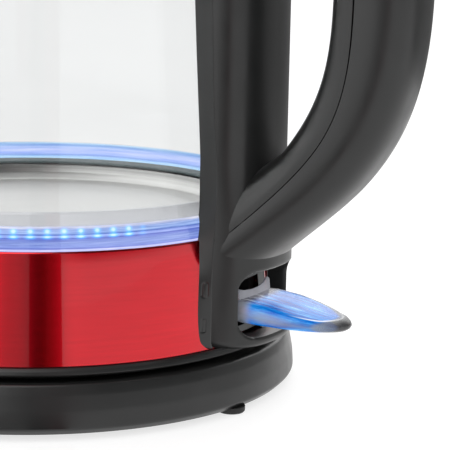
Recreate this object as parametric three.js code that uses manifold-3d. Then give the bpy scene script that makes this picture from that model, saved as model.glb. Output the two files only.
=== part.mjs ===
// Glass electric kettle on its round power base. Millimetres, +Z up, standing on z = 0.
// Everything is drawn about the kettle's own upright axis, with the handle towards +X and the
// spout towards -X; the whole group is then moved along X so that its box is centred.
import * as THREE from 'three';
import { mergeVertices } from 'three/addons/utils/BufferGeometryUtils.js';
import Module from 'manifold-3d';

const wasm = await Module();
wasm.setup();

// ---------- driving dimensions ----------
const GAP = 0.3;                 // clearance kept between pieces that touch
const ROUND = 40;                // sides of the big visible rings
const ROUND_INNER = 28;          // sides of the hidden rings
const FINE = 80;                 // sides of the cuts that clear a big ring

const BASE_R = 80;               // power base, outer radius at its foot
const BASE_RIM_R = 77.9;         // its upper rim
const BASE_BOTTOM = 1.6;
const BASE_RIM_Z = 15.3;
const BASE_DECK_Z = 14.5;        // the recessed deck that the kettle stands on
const BASE_WALL = 2.2;
const BASE_TURN = -8.8;         // degrees; the base stands turned by this under the kettle
const FOOT_R = 4;
const FOOT_CIRCLE_R = 76.2;
const FOOT_COUNT = 4;
const GLAND_ANGLE = 124.4;       // degrees, where the supply cord would enter the base

const RING_R = 75.9;             // black ring under the kettle
const RING_Z = 17;
const SKIRT_BOTTOM_R = 73.9;     // red steel skirt
const SKIRT_BOTTOM_Z = 19.3;
const SKIRT_TOP_R = 70.3;
const SKIRT_TOP_Z = 49.7;
const LIGHT_Z = 50;              // clear light ring on the skirt
const LIGHT_TOP_Z = 60.7;
const LIGHT_TOP_R = 68.9;
const LED_COUNT = 20;

const GLASS_R = 67.1;            // straight up to GLASS_BEND_Z, then leaning in
const GLASS_WALL = 2.6;
const GLASS_BOTTOM_Z = 55.6;
const GLASS_BEND_Z = 73;
const GLASS_TOP_Z = 204;
const GLASS_LEAN = 0.0525;       // radius lost per millimetre of height

const PLATE_R = 63.2;            // stainless heating plate
const PLATE_RIM_Z = 53.6;
const PLATE_FLOOR_Z = 49.2;

const COLUMN_CENTRE_X = 66;      // centre of the column's rounded nose
const COLUMN_NOSE = 17.7;
const COLUMN_HALF_WIDTH = 17.4;
const COLUMN_POWER = 2.3;        // squareness of its outline
const COLUMN_WALL = 2.4;
const COLUMN_BOTTOM = 19.3;
const COLUMN_TOP = 202.2;
const BACK_PLATE_R = 75.6;       // the strip that shows on both sides of the column
const BACK_PLATE_HALF_WIDTH = 23.4;
const BACK_PLATE_WALL = 1.4;
const BACK_PLATE_TOP = 196.2;

const HANDLE_X = 113.4;          // centre of the handle where it stands furthest out
const HANDLE_HALF_WIDTH = 14.2;
const HANDLE_OUT = 11.6;         // centre line to the outer face
const HANDLE_IN = 10.9;          // centre line to the inner face
const HANDLE_SEAM = -2.9;        // parting line between the shell and the grip, upper half
const ROOT_SEAM = 0;             // and near the root
const HANDLE_WALL = 2.5;
const HANDLE_MID_Z = 124;
const ARM_Z = 213.5;             // centre of the level arm at the top
const ARM_END_X = 62;
const ARM_BEND_X = 90;
const HANDLE_POWER = 2.6;
const ROOT_FLARE = 0.15;         // extra width where the handle runs into the column

const OPENING_HALF_WIDTH = 15.3; // window of the switch lever
const OPENING_LOW = 22.4;
const OPENING_HIGH = 41.2;
const PIVOT_X = 66;
const PIVOT_Z = 27;
const PADDLE_TIP_X = 106.4;
const PADDLE_HALF_WIDTH = 12.4;
const PADDLE_Z = 28;
const PADDLE_THICK = 3.4;

const COLLAR_R = 63.4;
const COLLAR_BOTTOM = 197;
const COLLAR_TOP = 222;
const COLLAR_BORE_R = 55.8;
const SPOUT_TIP = 79.5;
const LID_R = 55.4;
const LID_TOP = 230;
const HINGE_X = 58;
const HINGE_Z = 218.5;
const HINGE_PIN_R = 1.5;

const BUTTON_X0 = 67.6;
const BUTTON_X1 = 86;
const BUTTON_HALF_WIDTH = 7.4;
const BUTTON_LOW = 222.9;
const BUTTON_TOP = 227;
const LATCH_LOW = 216.5;
const LATCH_HIGH = 219;

const CENTRE_SHIFT = -(HANDLE_X + HANDLE_OUT - BASE_R) / 2;

// ---------- materials ----------
const material = (color, roughness, metalness, opacity = 1) => new THREE.MeshStandardMaterial({
  color, roughness, metalness, opacity, transparent: opacity < 1,
});
const BLACK = [0x2b2c2c, 0.5, 0];
const DARK = [0x1b1c1d, 0.6, 0];
const RED = [0xb01422, 0.35, 0.6];
const STEEL = [0xb9babb, 0.3, 1];
const BRASS = [0xc9a25a, 0.3, 1];
const GLASS = [0xf2f6f7, 0.03, 0, 0.3];
const CLEAR = [0xc9dcf5, 0.1, 0, 0.5];
const SILICONE = [0x3c4648, 0.7, 0];
const WHITE = [0xe8e8e4, 0.5, 0];
const GREEN = [0x2f6b45, 0.5, 0];
const RUBBER = [0x161616, 0.9, 0];

// ---------- solids ----------
function toSolid(geometry) {
  const plain = geometry.index ? geometry.toNonIndexed() : geometry.clone();
  for (const name of Object.keys(plain.attributes)) {
    if (name !== 'position') plain.deleteAttribute(name);
  }
  const merged = mergeVertices(plain, 1e-4);
  const place = merged.attributes.position;
  const corner = new THREE.Vector3();
  const triangles = [];
  let volume = 0;
  for (let i = 0; i < merged.index.count; i += 3) {
    const [a, b, c] = [0, 1, 2].map((k) => merged.index.getX(i + k));
    if (a === b || b === c || a === c) continue;
    triangles.push([a, b, c]);
    const [p, q, r] = [a, b, c].map((k) => corner.fromBufferAttribute(place, k).clone());
    volume += p.dot(q.cross(r));
  }
  const order = volume < 0 ? (t) => [t[0], t[2], t[1]] : (t) => t;
  return new wasm.Manifold(new wasm.Mesh({
    numProp: 3,
    vertProperties: new Float32Array(place.array),
    triVerts: new Uint32Array(triangles.flatMap(order)),
  }));
}

function toGeometry(solid) {
  const mesh = solid.getMesh();
  const geometry = new THREE.BufferGeometry();
  geometry.setAttribute('position', new THREE.BufferAttribute(mesh.vertProperties, 3));
  geometry.setIndex(new THREE.BufferAttribute(mesh.triVerts, 1));
  geometry.computeVertexNormals();
  return geometry;
}

const join = (first, ...others) => others.reduce((sum, one) => sum.add(one), first);
const cut = (first, ...others) => others.reduce((left, one) => left.subtract(one), first);

// A ring or disc turned about the kettle's axis from [radius, height] points.
function turned(points, sides = ROUND) {
  const onAxis = points[0][0] === 0 && points[points.length - 1][0] === 0;
  const outline = onAxis ? points : [...points, points[0]];
  const geometry = new THREE.LatheGeometry(outline.map(([r, z]) => new THREE.Vector2(r, z)), sides);
  return toSolid(geometry.rotateX(Math.PI / 2));
}

function block(x0, x1, y0, y1, z0, z1) {
  const geometry = new THREE.BoxGeometry(x1 - x0, y1 - y0, z1 - z0);
  return toSolid(geometry.translate((x0 + x1) / 2, (y0 + y1) / 2, (z0 + z1) / 2));
}

// A round bar along 'y' or 'z', from one coordinate to the other.
function bar(along, radius, from, to, centre, sides = 24) {
  const geometry = new THREE.CylinderGeometry(radius, radius, to - from, sides);
  geometry.translate(0, (from + to) / 2, 0);
  if (along === 'z') geometry.rotateX(Math.PI / 2);
  return toSolid(geometry.translate(...centre));
}

// A plan outline, [x, y] points, raised from z0 to z1.
function raised(points, z0, z1) {
  const shape = new THREE.Shape(points.map(([x, y]) => new THREE.Vector2(x, y)));
  const geometry = new THREE.ExtrudeGeometry(shape, { depth: z1 - z0, bevelEnabled: false });
  return toSolid(geometry.translate(0, 0, z0));
}

// A side outline, [x, z] points, from -halfWidth to +halfWidth in Y.
function sideways(points, halfWidth) {
  const shape = new THREE.Shape(points.map(([x, z]) => new THREE.Vector2(x, z)));
  const geometry = new THREE.ExtrudeGeometry(shape, { depth: 2 * halfWidth, bevelEnabled: false });
  return toSolid(geometry.translate(0, 0, -halfWidth).rotateX(Math.PI / 2));
}

// A skin over rings of points that all have the outline's order, closed by a cap at each end.
function lofted(rings, outline) {
  const count = outline.length;
  const caps = THREE.ShapeUtils.triangulateShape(outline.map(([u, v]) => new THREE.Vector2(u, v)), []);
  const positions = rings.flat().flatMap((point) => point.toArray());
  const index = [];
  for (let r = 0; r < rings.length - 1; r += 1) {
    for (let i = 0; i < count; i += 1) {
      const a = r * count + i;
      const b = r * count + ((i + 1) % count);
      index.push(a, b, b + count, a, b + count, a + count);
    }
  }
  const last = (rings.length - 1) * count;
  const forwards = THREE.ShapeUtils.isClockWise(outline.map(([u, v]) => new THREE.Vector2(u, v)));
  for (const [a, b, c] of caps) {
    index.push(...(forwards ? [a, b, c] : [a, c, b]));
    index.push(...(forwards ? [c, b, a] : [c, a, b]).map((k) => k + last));
  }
  const geometry = new THREE.BufferGeometry();
  geometry.setAttribute('position', new THREE.Float32BufferAttribute(positions, 3));
  geometry.setIndex(index);
  return toSolid(geometry);
}

const group = new THREE.Group();
group.position.x = CENTRE_SHIFT;

function add(name, solid, look) {
  const mesh = new THREE.Mesh(toGeometry(solid), material(...look));
  mesh.name = name;
  group.add(mesh);
}

// Point at an angle (degrees from +X) on a circle about the axis.
function polar(radius, degrees) {
  const turn = THREE.MathUtils.degToRad(degrees);
  return [radius * Math.cos(turn), radius * Math.sin(turn)];
}

// ---------- shared outlines ----------
// Half of a rounded-square arch: width to each side, height at the crown.
function arch(halfWidth, height, power, steps) {
  return Array.from({ length: steps + 1 }, (_, k) => {
    const turn = (Math.PI * k) / steps;
    const side = Math.abs(Math.cos(turn)) ** (2 / power) * Math.sign(Math.cos(turn));
    return [halfWidth * side, height * Math.abs(Math.sin(turn)) ** (2 / power)];
  });
}

// The column's D outline in plan, grown outwards by `grow`, reaching back to x = back.
function columnOutline(grow, back, steps = 14) {
  const nose = arch(COLUMN_HALF_WIDTH + grow, COLUMN_NOSE + grow, COLUMN_POWER, steps)
    .map(([side, out]) => [COLUMN_CENTRE_X + out, side]);
  return [[back, COLUMN_HALF_WIDTH + grow], ...nose, [back, -COLUMN_HALF_WIDTH - grow]];
}

// Radius of the glass at a height, moved outwards by `offset`.
function glassRadius(z, offset = 0) {
  return GLASS_R + offset - Math.max(0, z - GLASS_BEND_Z) * GLASS_LEAN;
}

// The handle's centre line in the X-Z plane, from inside the column up to the collar.
function handlePath() {
  const path = new THREE.CurvePath();
  const at = (x, z) => new THREE.Vector3(x, 0, z);
  path.add(new THREE.CubicBezierCurve3(
    at(71.6, 48.7), at(101.5, 75.4), at(HANDLE_X, 87), at(HANDLE_X, HANDLE_MID_Z),
  ));
  path.add(new THREE.CubicBezierCurve3(
    at(HANDLE_X, HANDLE_MID_Z), at(HANDLE_X, 170), at(112, ARM_Z), at(ARM_BEND_X, ARM_Z),
  ));
  path.add(new THREE.LineCurve3(at(ARM_BEND_X, ARM_Z), at(ARM_END_X, ARM_Z)));
  return path;
}

// A solid along the handle; section(seam) gives [side, out] points for a parting line at `seam`.
function alongHandle(section, stations = [9, 8, 1]) {
  const rings = [];
  handlePath().curves.forEach((curve, part) => {
    for (let k = part === 0 ? 0 : 1; k <= stations[part]; k += 1) {
      const t = k / stations[part];
      const centre = curve.getPoint(t);
      const tangent = curve.getTangent(t);
      const flare = part === 0 ? 1 + ROOT_FLARE * Math.max(0, 1 - t / 0.36) ** 2 : 1;
      const share = part === 0 ? THREE.MathUtils.smoothstep(t, 0.4, 1) : 1;
      const seam = THREE.MathUtils.lerp(ROOT_SEAM, HANDLE_SEAM, share);
      rings.push(section(seam).map(([side, out]) => new THREE.Vector3(
        centre.x + tangent.z * out, side * flare, centre.z - tangent.x * out,
      )));
    }
  });
  return lofted(rings, section(HANDLE_SEAM));
}

// ---------- power base ----------
function powerBase() {
  const wall = BASE_WALL;
  const shell = turned([
    [BASE_R - 1.8, BASE_BOTTOM], [BASE_R, 2.6], [BASE_R - 0.2, 6], [BASE_R - 1.1, 12],
    [BASE_RIM_R, BASE_RIM_Z - 0.7], [BASE_RIM_R - 1, BASE_RIM_Z], [74.6, BASE_RIM_Z],
    [73.6, BASE_DECK_Z], [24, BASE_DECK_Z], [22, BASE_DECK_Z + 1.5], [16.2, BASE_DECK_Z + 1.5],
    [16.2, BASE_DECK_Z - wall], [73, BASE_DECK_Z - wall], [76.2, BASE_DECK_Z - wall],
    [77.6, 4.2], [77.6, BASE_BOTTOM],
  ]);
  const [gx, gy] = polar(1, GLAND_ANGLE);
  const glandBar = (radius, from, to) => {
    const geometry = new THREE.CylinderGeometry(radius, radius, to - from, 16);
    geometry.rotateZ(-Math.PI / 2).translate((from + to) / 2, 0, 0);
    geometry.rotateZ(Math.atan2(gy, gx)).translate(0, 0, 8.2);
    return toSolid(geometry);
  };
  add('power_base_shell', cut(shell, glandBar(4.3, 70, 85)), BLACK);
  const gland = cut(
    join(glandBar(3.9, 73, 81), glandBar(5.2, 80.4, 81.6)), glandBar(3.2, 70, 85),
  );
  add('cord_gland', gland, RUBBER);

  const screwSpots = [60, 180, 300].map((turn) => polar(58, turn + BASE_TURN));
  const plate = turned([
    [0, 1.8], [76.5, 1.8], [77.2, 2.4], [77.2, 3.8], [0, 3.8],
  ]);
  const screwHoles = screwSpots.map(([x, y]) => bar('z', 3.3, 1, 5, [x, y, 0], 16));
  add('base_bottom_plate', cut(plate, ...screwHoles), DARK);
  screwSpots.forEach(([x, y], i) => {
    const screw = join(bar('z', 3, 2, 3.6, [x, y, 0], 12), bar('z', 1.4, 3.4, 11, [x, y, 0], 8));
    add(`base_screw_${i + 1}`, screw, STEEL);
  });

  for (let i = 0; i < FOOT_COUNT; i += 1) {
    const [x, y] = polar(FOOT_CIRCLE_R, BASE_TURN + (360 / FOOT_COUNT) * i);
    add(`rubber_foot_${i + 1}`, bar('z', FOOT_R, 0, BASE_BOTTOM - GAP, [x, y, 0], 20), RUBBER);
  }

  const post = turned([
    [2.6, 12.6], [14.2, 12.6], [14.2, 11.4], [15.9, 11.4], [15.9, 27.4], [15, 28.4],
    [12.6, 28.4], [12.6, 18], [9.6, 18], [9.6, 26], [2.6, 26],
  ], ROUND_INNER);
  add('base_connector', post, WHITE);
  add('base_contact_pin', bar('z', 2.2, 10, 25, [0, 0, 0], 16), BRASS);
  const ring = turned([[9.9, 18.4], [11, 18.4], [11, 27], [9.9, 27]], 32);
  add('base_contact_ring', ring, BRASS);
}

// ---------- coupler socket under the kettle: a body of revolution ----------
function coupler() {
  const socket = turned([
    [16.5, 17.2], [19.2, 17.2], [19.2, 19.6], [22.5, 19.6], [22.5, 21.4], [19.2, 21.4],
    [19.2, 31], [4, 31], [4, 29.2], [16.5, 29.2],
  ], ROUND_INNER);
  add('coupler_socket', socket, WHITE);
  const sleeve = turned([[2.7, 26.4], [3.6, 26.4], [3.6, 31], [2.7, 31]], 24);
  add('coupler_contact_sleeve', sleeve, BRASS);
}

// ---------- kettle body below the water ----------
// Room for the switch lever through the skirt and the chassis.
const leverPath = () => block(40, 90, -14.9, 14.9, OPENING_LOW - 0.4, 42);

function lowerBody() {
  const ring = turned([
    [20, RING_Z], [66, RING_Z], [66.6, BASE_DECK_Z + GAP], [69.4, BASE_DECK_Z + GAP],
    [70, RING_Z], [RING_R, RING_Z], [RING_R - 0.2, 18], [RING_R - 0.9, 19], [72.2, 19],
    [71.8, 23.6], [70.6, 23.6], [70.6, 19], [20, 19],
  ]);
  const spots = [90, 210, 330].map((turn) => polar(56, turn));
  const holes = spots.map(([x, y]) => bar('z', 3.2, 16, 20, [x, y, 0], 16));
  const leverRoom = block(60, 90, -14.9, 14.9, 19.05, 30);
  add('kettle_base_ring', cut(ring, leverRoom, ...holes), BLACK);
  spots.forEach(([x, y], i) => {
    const screw = join(bar('z', 2.8, 17.2, 18.8, [x, y, 0], 12), bar('z', 1.4, 18.6, 26, [x, y, 0], 8));
    add(`bottom_screw_${i + 1}`, screw, STEEL);
  });

  const wall = 0.9;
  const skirt = turned([
    [SKIRT_BOTTOM_R - wall, SKIRT_BOTTOM_Z], [SKIRT_BOTTOM_R, SKIRT_BOTTOM_Z],
    [SKIRT_TOP_R + 0.4, SKIRT_TOP_Z - 3], [SKIRT_TOP_R, SKIRT_TOP_Z],
    [SKIRT_TOP_R - wall, SKIRT_TOP_Z],
  ]);
  add('steel_skirt', cut(skirt, leverPath()), RED);

  const chassis = turned([
    [62, 19.4], [64, 19.4], [64, 43.6], [69, 43.6], [69, 45.6], [62, 45.6],
  ], ROUND_INNER);
  add('inner_chassis', cut(chassis, leverPath()), DARK);

  const board = turned([[64.4, 46], [68.6, 46], [68.6, 47.4], [64.4, 47.4]], ROUND_INNER);
  const lights = Array.from({ length: LED_COUNT }, (_, i) => {
    const lamp = new THREE.BoxGeometry(1.8, 3.2, 1.6).translate(66.6, 0, 47.9);
    return toSolid(lamp.rotateZ((2 * Math.PI * (i + 0.5)) / LED_COUNT));
  });
  add('led_ring_board', join(board, ...lights), GREEN);

  const light = turned([
    [64, LIGHT_Z], [SKIRT_TOP_R - 0.1, LIGHT_Z], [SKIRT_TOP_R - 0.4, LIGHT_Z + 4.5],
    [LIGHT_TOP_R, LIGHT_TOP_Z - 0.6], [LIGHT_TOP_R - 0.6, LIGHT_TOP_Z],
    [67.5, LIGHT_TOP_Z], [67.5, 52.4], [64, 52.4],
  ]);
  add('light_ring', light, CLEAR);

  const sheet = 0.8;
  const plate = turned([
    [0, PLATE_FLOOR_Z - sheet], [60.6, PLATE_FLOOR_Z - sheet], [62.4, 50.6],
    [PLATE_R, PLATE_RIM_Z - sheet], [67, PLATE_RIM_Z - sheet], [67, PLATE_RIM_Z],
    [PLATE_R - 0.8, PLATE_RIM_Z], [61.4, 50.8], [59.8, PLATE_FLOOR_Z], [0, PLATE_FLOOR_Z],
  ]);
  add('heating_plate', plate, STEEL);
  add('heat_spreader', turned([[0, 46.8], [52, 46.8], [52, 48.1], [0, 48.1]], ROUND_INNER), STEEL);

  const loop = new THREE.Path().absarc(0, 0, 44, 0.35, 2 * Math.PI - 0.35);
  const route = new THREE.CatmullRomCurve3(loop.getSpacedPoints(30)
    .map((point) => new THREE.Vector3(point.x, point.y, 43.2)));
  const tube = new THREE.Shape().absarc(0, 0, 3.2, 0, 2 * Math.PI);
  const element = new THREE.ExtrudeGeometry(tube, { extrudePath: route, steps: 30, curveSegments: 5 });
  add('heating_element', toSolid(element), STEEL);

  const seal = turned([
    [63.4, PLATE_RIM_Z + GAP], [67.1, PLATE_RIM_Z + GAP], [67.1, 55.3], [63.4, 55.3],
  ], ROUND);
  add('plate_seal', seal, SILICONE);
}

function controls() {
  const body = join(
    turned([[0, 31.4], [24, 31.4], [24, 40.8], [0, 40.8]], ROUND_INNER),
    block(18, 61, -13, 13, 31.4, 39.6),
    block(59, 69.4, 9, 12, 22.6, 39.6),
    block(59, 69.4, -12, -9, 22.6, 39.6),
  );
  const pinHole = bar('y', 1.8, -20, 20, [PIVOT_X, 0, PIVOT_Z], 16);
  add('control_unit', cut(body, pinHole), DARK);
  add('bimetal_disc', turned([[0, 41.6], [9, 41.2], [9, 41.7], [0, 42.2]], 24), BRASS);
  add('lever_pivot_pin', bar('y', 1.5, -11.8, 11.8, [PIVOT_X, 0, PIVOT_Z], 16), STEEL);
}

// ---------- switch lever: clear paddle with a hub on the pivot pin ----------
function paddleOutline() {
  const rounded = arch(PADDLE_HALF_WIDTH, PADDLE_TIP_X - 85, 1.85, 14)
    .map(([side, out]) => [85 + out, side]);
  return [[75.2, PADDLE_HALF_WIDTH - 1.4], [78, PADDLE_HALF_WIDTH - 0.3], ...rounded,
    [78, -PADDLE_HALF_WIDTH + 0.3], [75.2, -PADDLE_HALF_WIDTH + 1.4]];
}

function switchLever() {
  const outline = paddleOutline();
  const spread = (level, inset) => outline.map(([x, y]) => new THREE.Vector3(
    x > 85 ? 85 + (x - 85) * (1 - inset) : x,
    y * (1 - inset),
    level - Math.max(0, x - 88) * 0.045,
  ));
  const half = PADDLE_THICK / 2;
  const spoon = lofted([
    spread(PADDLE_Z - half, 0.08), spread(PADDLE_Z - half * 0.4, 0),
    spread(PADDLE_Z + half * 0.4, 0), spread(PADDLE_Z + half, 0.08),
  ], outline);
  const upstand = sideways([[75.2, 28], [77.6, 28], [76.8, 35.6], [75.2, 35.6]], 9.4);
  const neck = block(64, 77, -8.4, 8.4, PADDLE_Z - 1.8, PADDLE_Z + 1.4);
  const hub = bar('y', 3.8, -8.6, 8.6, [PIVOT_X, 0, PIVOT_Z], 20);
  const hole = bar('y', 1.8, -20, 20, [PIVOT_X, 0, PIVOT_Z], 16);
  add('switch_paddle', cut(join(spoon, upstand, neck, hub), hole), CLEAR);
  add('trip_lever', block(46, 61.8, -4, 4, 25.6, 28.6), WHITE);
}

// ---------- glass, collar, spout and filter ----------
function upperBody() {
  const inner = (z) => glassRadius(z, -GLASS_WALL);
  const middle = (GLASS_BEND_Z + GLASS_TOP_Z) / 2;
  const glass = turned([
    [inner(GLASS_BOTTOM_Z), GLASS_BOTTOM_Z], [glassRadius(GLASS_BOTTOM_Z), GLASS_BOTTOM_Z],
    [glassRadius(GLASS_BEND_Z), GLASS_BEND_Z], [glassRadius(middle), middle],
    [glassRadius(GLASS_TOP_Z), GLASS_TOP_Z], [inner(GLASS_TOP_Z), GLASS_TOP_Z],
    [inner(middle), middle], [inner(GLASS_BEND_Z), GLASS_BEND_Z],
  ]);
  add('glass_body', glass, GLASS);
  add('collar_seal', turned([[57.7, 204.3], [60.5, 204.3], [60.5, 206.2], [57.7, 206.2]]), SILICONE);

  const ring = turned([
    [60.9, COLLAR_BOTTOM], [62.4, COLLAR_BOTTOM], [COLLAR_R, 199.5], [COLLAR_R, 221],
    [COLLAR_R - 1, COLLAR_TOP], [56.6, COLLAR_TOP], [COLLAR_BORE_R, 221.2],
    [COLLAR_BORE_R, 208.2], [57.4, 206.6], [60.9, 206.6],
  ]);
  // The spout's plan at a height share s of 0 to 1: two sides running to a rounded tip.
  const beak = (s, inset) => {
    const reach = 62.8 + (SPOUT_TIP - 62.8) * s - inset * 1.5 - 57;
    return arch(9 + 14 * s - inset, reach, 1.55, 10).map(([side, out]) => [-57 - out, side]);
  };
  const level = (s, inset, z) => beak(s, inset).map(([x, y]) => new THREE.Vector3(x, y, z));
  const spout = lofted([
    level(0, 0, 198), level(0.35, 0, 206), level(0.72, 0, 214), level(1, 0, COLLAR_TOP),
  ], beak(1, 0));
  const channel = lofted([
    level(0.18, 2, 206.8), level(0.66, 2, 214), level(0.98, 2, COLLAR_TOP + 0.6),
  ], beak(1, 2));
  const mouth = block(-60, -50, -12, 12, 207.5, 223);
  const bore = turned([[0, 190], [COLLAR_BORE_R, 190], [COLLAR_BORE_R, 230], [0, 230]]);
  const knuckleRoom = block(54, 66, -9.6, 9.6, 214.6, 230);
  const bevel = turned([[0, 219], [55.7, 219], [56.5, 220.3], [59.3, 222.4], [59.3, 230], [0, 230]]);
  const swingRoom = bevel.intersect(block(40, 62, -34, 34, 210, 230));
  const pinHole = bar('y', 1.8, -14.5, 14.5, [HINGE_X, 0, HINGE_Z], 16);
  const glassRoom = turned([[0, 190], [60.9, 190], [60.9, 206.6], [0, 206.6]]);
  const collar = cut(
    join(ring, cut(spout, glassRoom, bore)), channel, mouth, knuckleRoom, swingRoom, pinHole,
  );
  add('top_collar', collar, BLACK);
  add('lid_hinge_pin', bar('y', HINGE_PIN_R, -14.1, 14.1, [HINGE_X, 0, HINGE_Z], 16), STEEL);

  const frame = cut(block(-53.2, -51.2, -14, 14, 192, 211.2), block(-60, -50, -12, 12, 194, 209.2));
  add('filter_frame', frame, DARK);
  const slots = [];
  for (let i = -4; i <= 4; i += 1) {
    slots.push(block(-60, -50, i * 2.4 - 0.7, i * 2.4 + 0.7, 195.5, 207.8));
  }
  add('filter_mesh', cut(block(-52.5, -51.9, -11.7, 11.7, 194.3, 208.9), ...slots), STEEL);
}

// ---------- lid ----------
function lid() {
  const dome = turned([
    [0, LID_TOP], [18, LID_TOP - 0.4], [36, 228], [48, 225.4], [54, 223], [LID_R - 0.2, 221],
    [LID_R - 0.2, 215.2], [52.4, 215.2], [52.4, 220.4], [46, 223], [34, 225.6], [17, 227.6],
    [0, 228],
  ]);
  const barrel = bar('y', 3, -9.2, 9.2, [HINGE_X, 0, HINGE_Z], 20);
  const tab = block(52.6, HINGE_X, -9.2, 9.2, 215.6, 221.3);
  const hole = bar('y', 1.8, -20, 20, [HINGE_X, 0, HINGE_Z], 16);
  add('lid_cover', cut(join(dome, tab, barrel), hole), BLACK);
  const pan = turned([
    [0, 212.2], [50, 212.2], [52, 213.6], [52, 219], [51.2, 219], [51.2, 214], [49.6, 213],
    [0, 213],
  ]);
  add('lid_inner_plate', pan, STEEL);
  const gasket = turned([[52.4, 212.6], [54.8, 212.6], [LID_R, 213.8], [LID_R, 214.8], [52.4, 214.8]]);
  add('lid_gasket', gasket, SILICONE);
}

// ---------- column, handle, release button and latch ----------
function handle() {
  const inside = BACK_PLATE_R - BACK_PLATE_WALL;
  const lean = (BACK_PLATE_TOP - GLASS_BEND_Z) * GLASS_LEAN;
  const strip = turned([
    [inside, COLUMN_BOTTOM], [BACK_PLATE_R, COLUMN_BOTTOM], [BACK_PLATE_R, GLASS_BEND_Z],
    [BACK_PLATE_R - lean, BACK_PLATE_TOP], [inside - lean, BACK_PLATE_TOP],
    [inside, GLASS_BEND_Z],
  ], FINE);
  const width = BACK_PLATE_HALF_WIDTH;
  const sector = block(40, 90, -width, width, 0, 240);
  const switchRoom = block(40, 90, -15.8, 15.8, 0, 45);
  // Two upright ribs behind the strip reach back to the glass.
  const ribLow = LIGHT_TOP_Z + 0.4;
  const filler = turned([
    [glassRadius(ribLow, 0.5), ribLow], [inside + 0.4, ribLow],
    [inside + 0.4, GLASS_BEND_Z], [inside + 0.4 - lean, BACK_PLATE_TOP],
    [glassRadius(BACK_PLATE_TOP, 0.5), BACK_PLATE_TOP], [glassRadius(GLASS_BEND_Z, 0.5), GLASS_BEND_Z],
  ], FINE);
  const ribs = [-16.4, 14.4].map((y) => filler.intersect(block(40, 90, y, y + 2, 0, 240)));
  add('column_back_plate', join(cut(strip.intersect(sector), switchRoom), ...ribs), BLACK);

  // Both halves of the handle are channels: an outer arch and a smaller one back inside it.
  const channel = (from, depth, direction, steps) => {
    const outer = arch(HANDLE_HALF_WIDTH, depth, HANDLE_POWER, steps);
    const inner = arch(HANDLE_HALF_WIDTH - HANDLE_WALL, depth - HANDLE_WALL, HANDLE_POWER, steps - 2);
    return [...outer, ...inner.reverse()].map(([side, out]) => [side, from + direction * out]);
  };
  const shellSection = (seam) => channel(seam, HANDLE_OUT - seam, 1, 10);
  const gripSection = (seam) => channel(seam - GAP, HANDLE_IN + seam - GAP, -1, 8);

  const column = raised(columnOutline(0, 60), COLUMN_BOTTOM, COLUMN_TOP);
  const hollow = raised(columnOutline(-COLUMN_WALL, 50), COLUMN_BOTTOM + 2.2, COLUMN_TOP - 2);
  const stripRoom = turned([
    [0, 10], [BACK_PLATE_R + GAP, 10], [BACK_PLATE_R + GAP, GLASS_BEND_Z],
    [BACK_PLATE_R + GAP - lean, BACK_PLATE_TOP],
    [COLLAR_R + 0.4, BACK_PLATE_TOP + 0.4], [COLLAR_R + 0.4, 240], [0, 240],
  ], FINE);
  const corner = 4.6;
  const midZ = (OPENING_LOW + OPENING_HIGH) / 2;
  const tall = (OPENING_HIGH - OPENING_LOW) / 2;
  const window = new THREE.Shape();
  const right = OPENING_HALF_WIDTH - corner;
  const up = tall - corner;
  window.absarc(right, up, corner, 0, Math.PI / 2);
  window.absarc(-right, up, corner, Math.PI / 2, Math.PI);
  window.absarc(-right, -up, corner, Math.PI, 1.5 * Math.PI);
  window.absarc(right, -up, corner, 1.5 * Math.PI, 2 * Math.PI);
  const opening = new THREE.ExtrudeGeometry(window, { depth: 40, bevelEnabled: false, curveSegments: 5 });
  opening.rotateX(Math.PI / 2).rotateZ(Math.PI / 2).translate(60, 0, midZ);
  const pocket = block(BUTTON_X0 - GAP, BUTTON_X1 + GAP, -BUTTON_HALF_WIDTH - GAP,
    BUTTON_HALF_WIDTH + GAP, 217, 240);
  const screwSpots = [-8.5, 8.5].map((y) => [76, y]);
  const screwHoles = screwSpots.map(([x, y]) => bar('z', 2.3, 15, 30, [x, y, 0], 12));
  const shell = cut(
    join(column, alongHandle(shellSection)), hollow, stripRoom, toSolid(opening), pocket,
    ...screwHoles,
  );
  add('handle_shell', shell, BLACK);
  screwSpots.forEach(([x, y], i) => {
    const screw = join(bar('z', 1.9, 19.5, 21, [x, y, 0], 12), bar('z', 1.1, 20.8, 22, [x, y, 0], 8));
    add(`column_screw_${i + 1}`, screw, STEEL);
  });

  const columnRoom = raised(columnOutline(GAP, 50), COLUMN_BOTTOM - GAP, COLUMN_TOP + GAP);
  add('handle_grip', cut(alongHandle(gripSection), columnRoom, stripRoom), BLACK);
  add('steam_tube', cut(
    bar('z', 2.6, 46, 198, [78.2, 0, 0], 16), bar('z', 1.8, 40, 210, [78.2, 0, 0], 12),
  ), WHITE);
}

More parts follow.
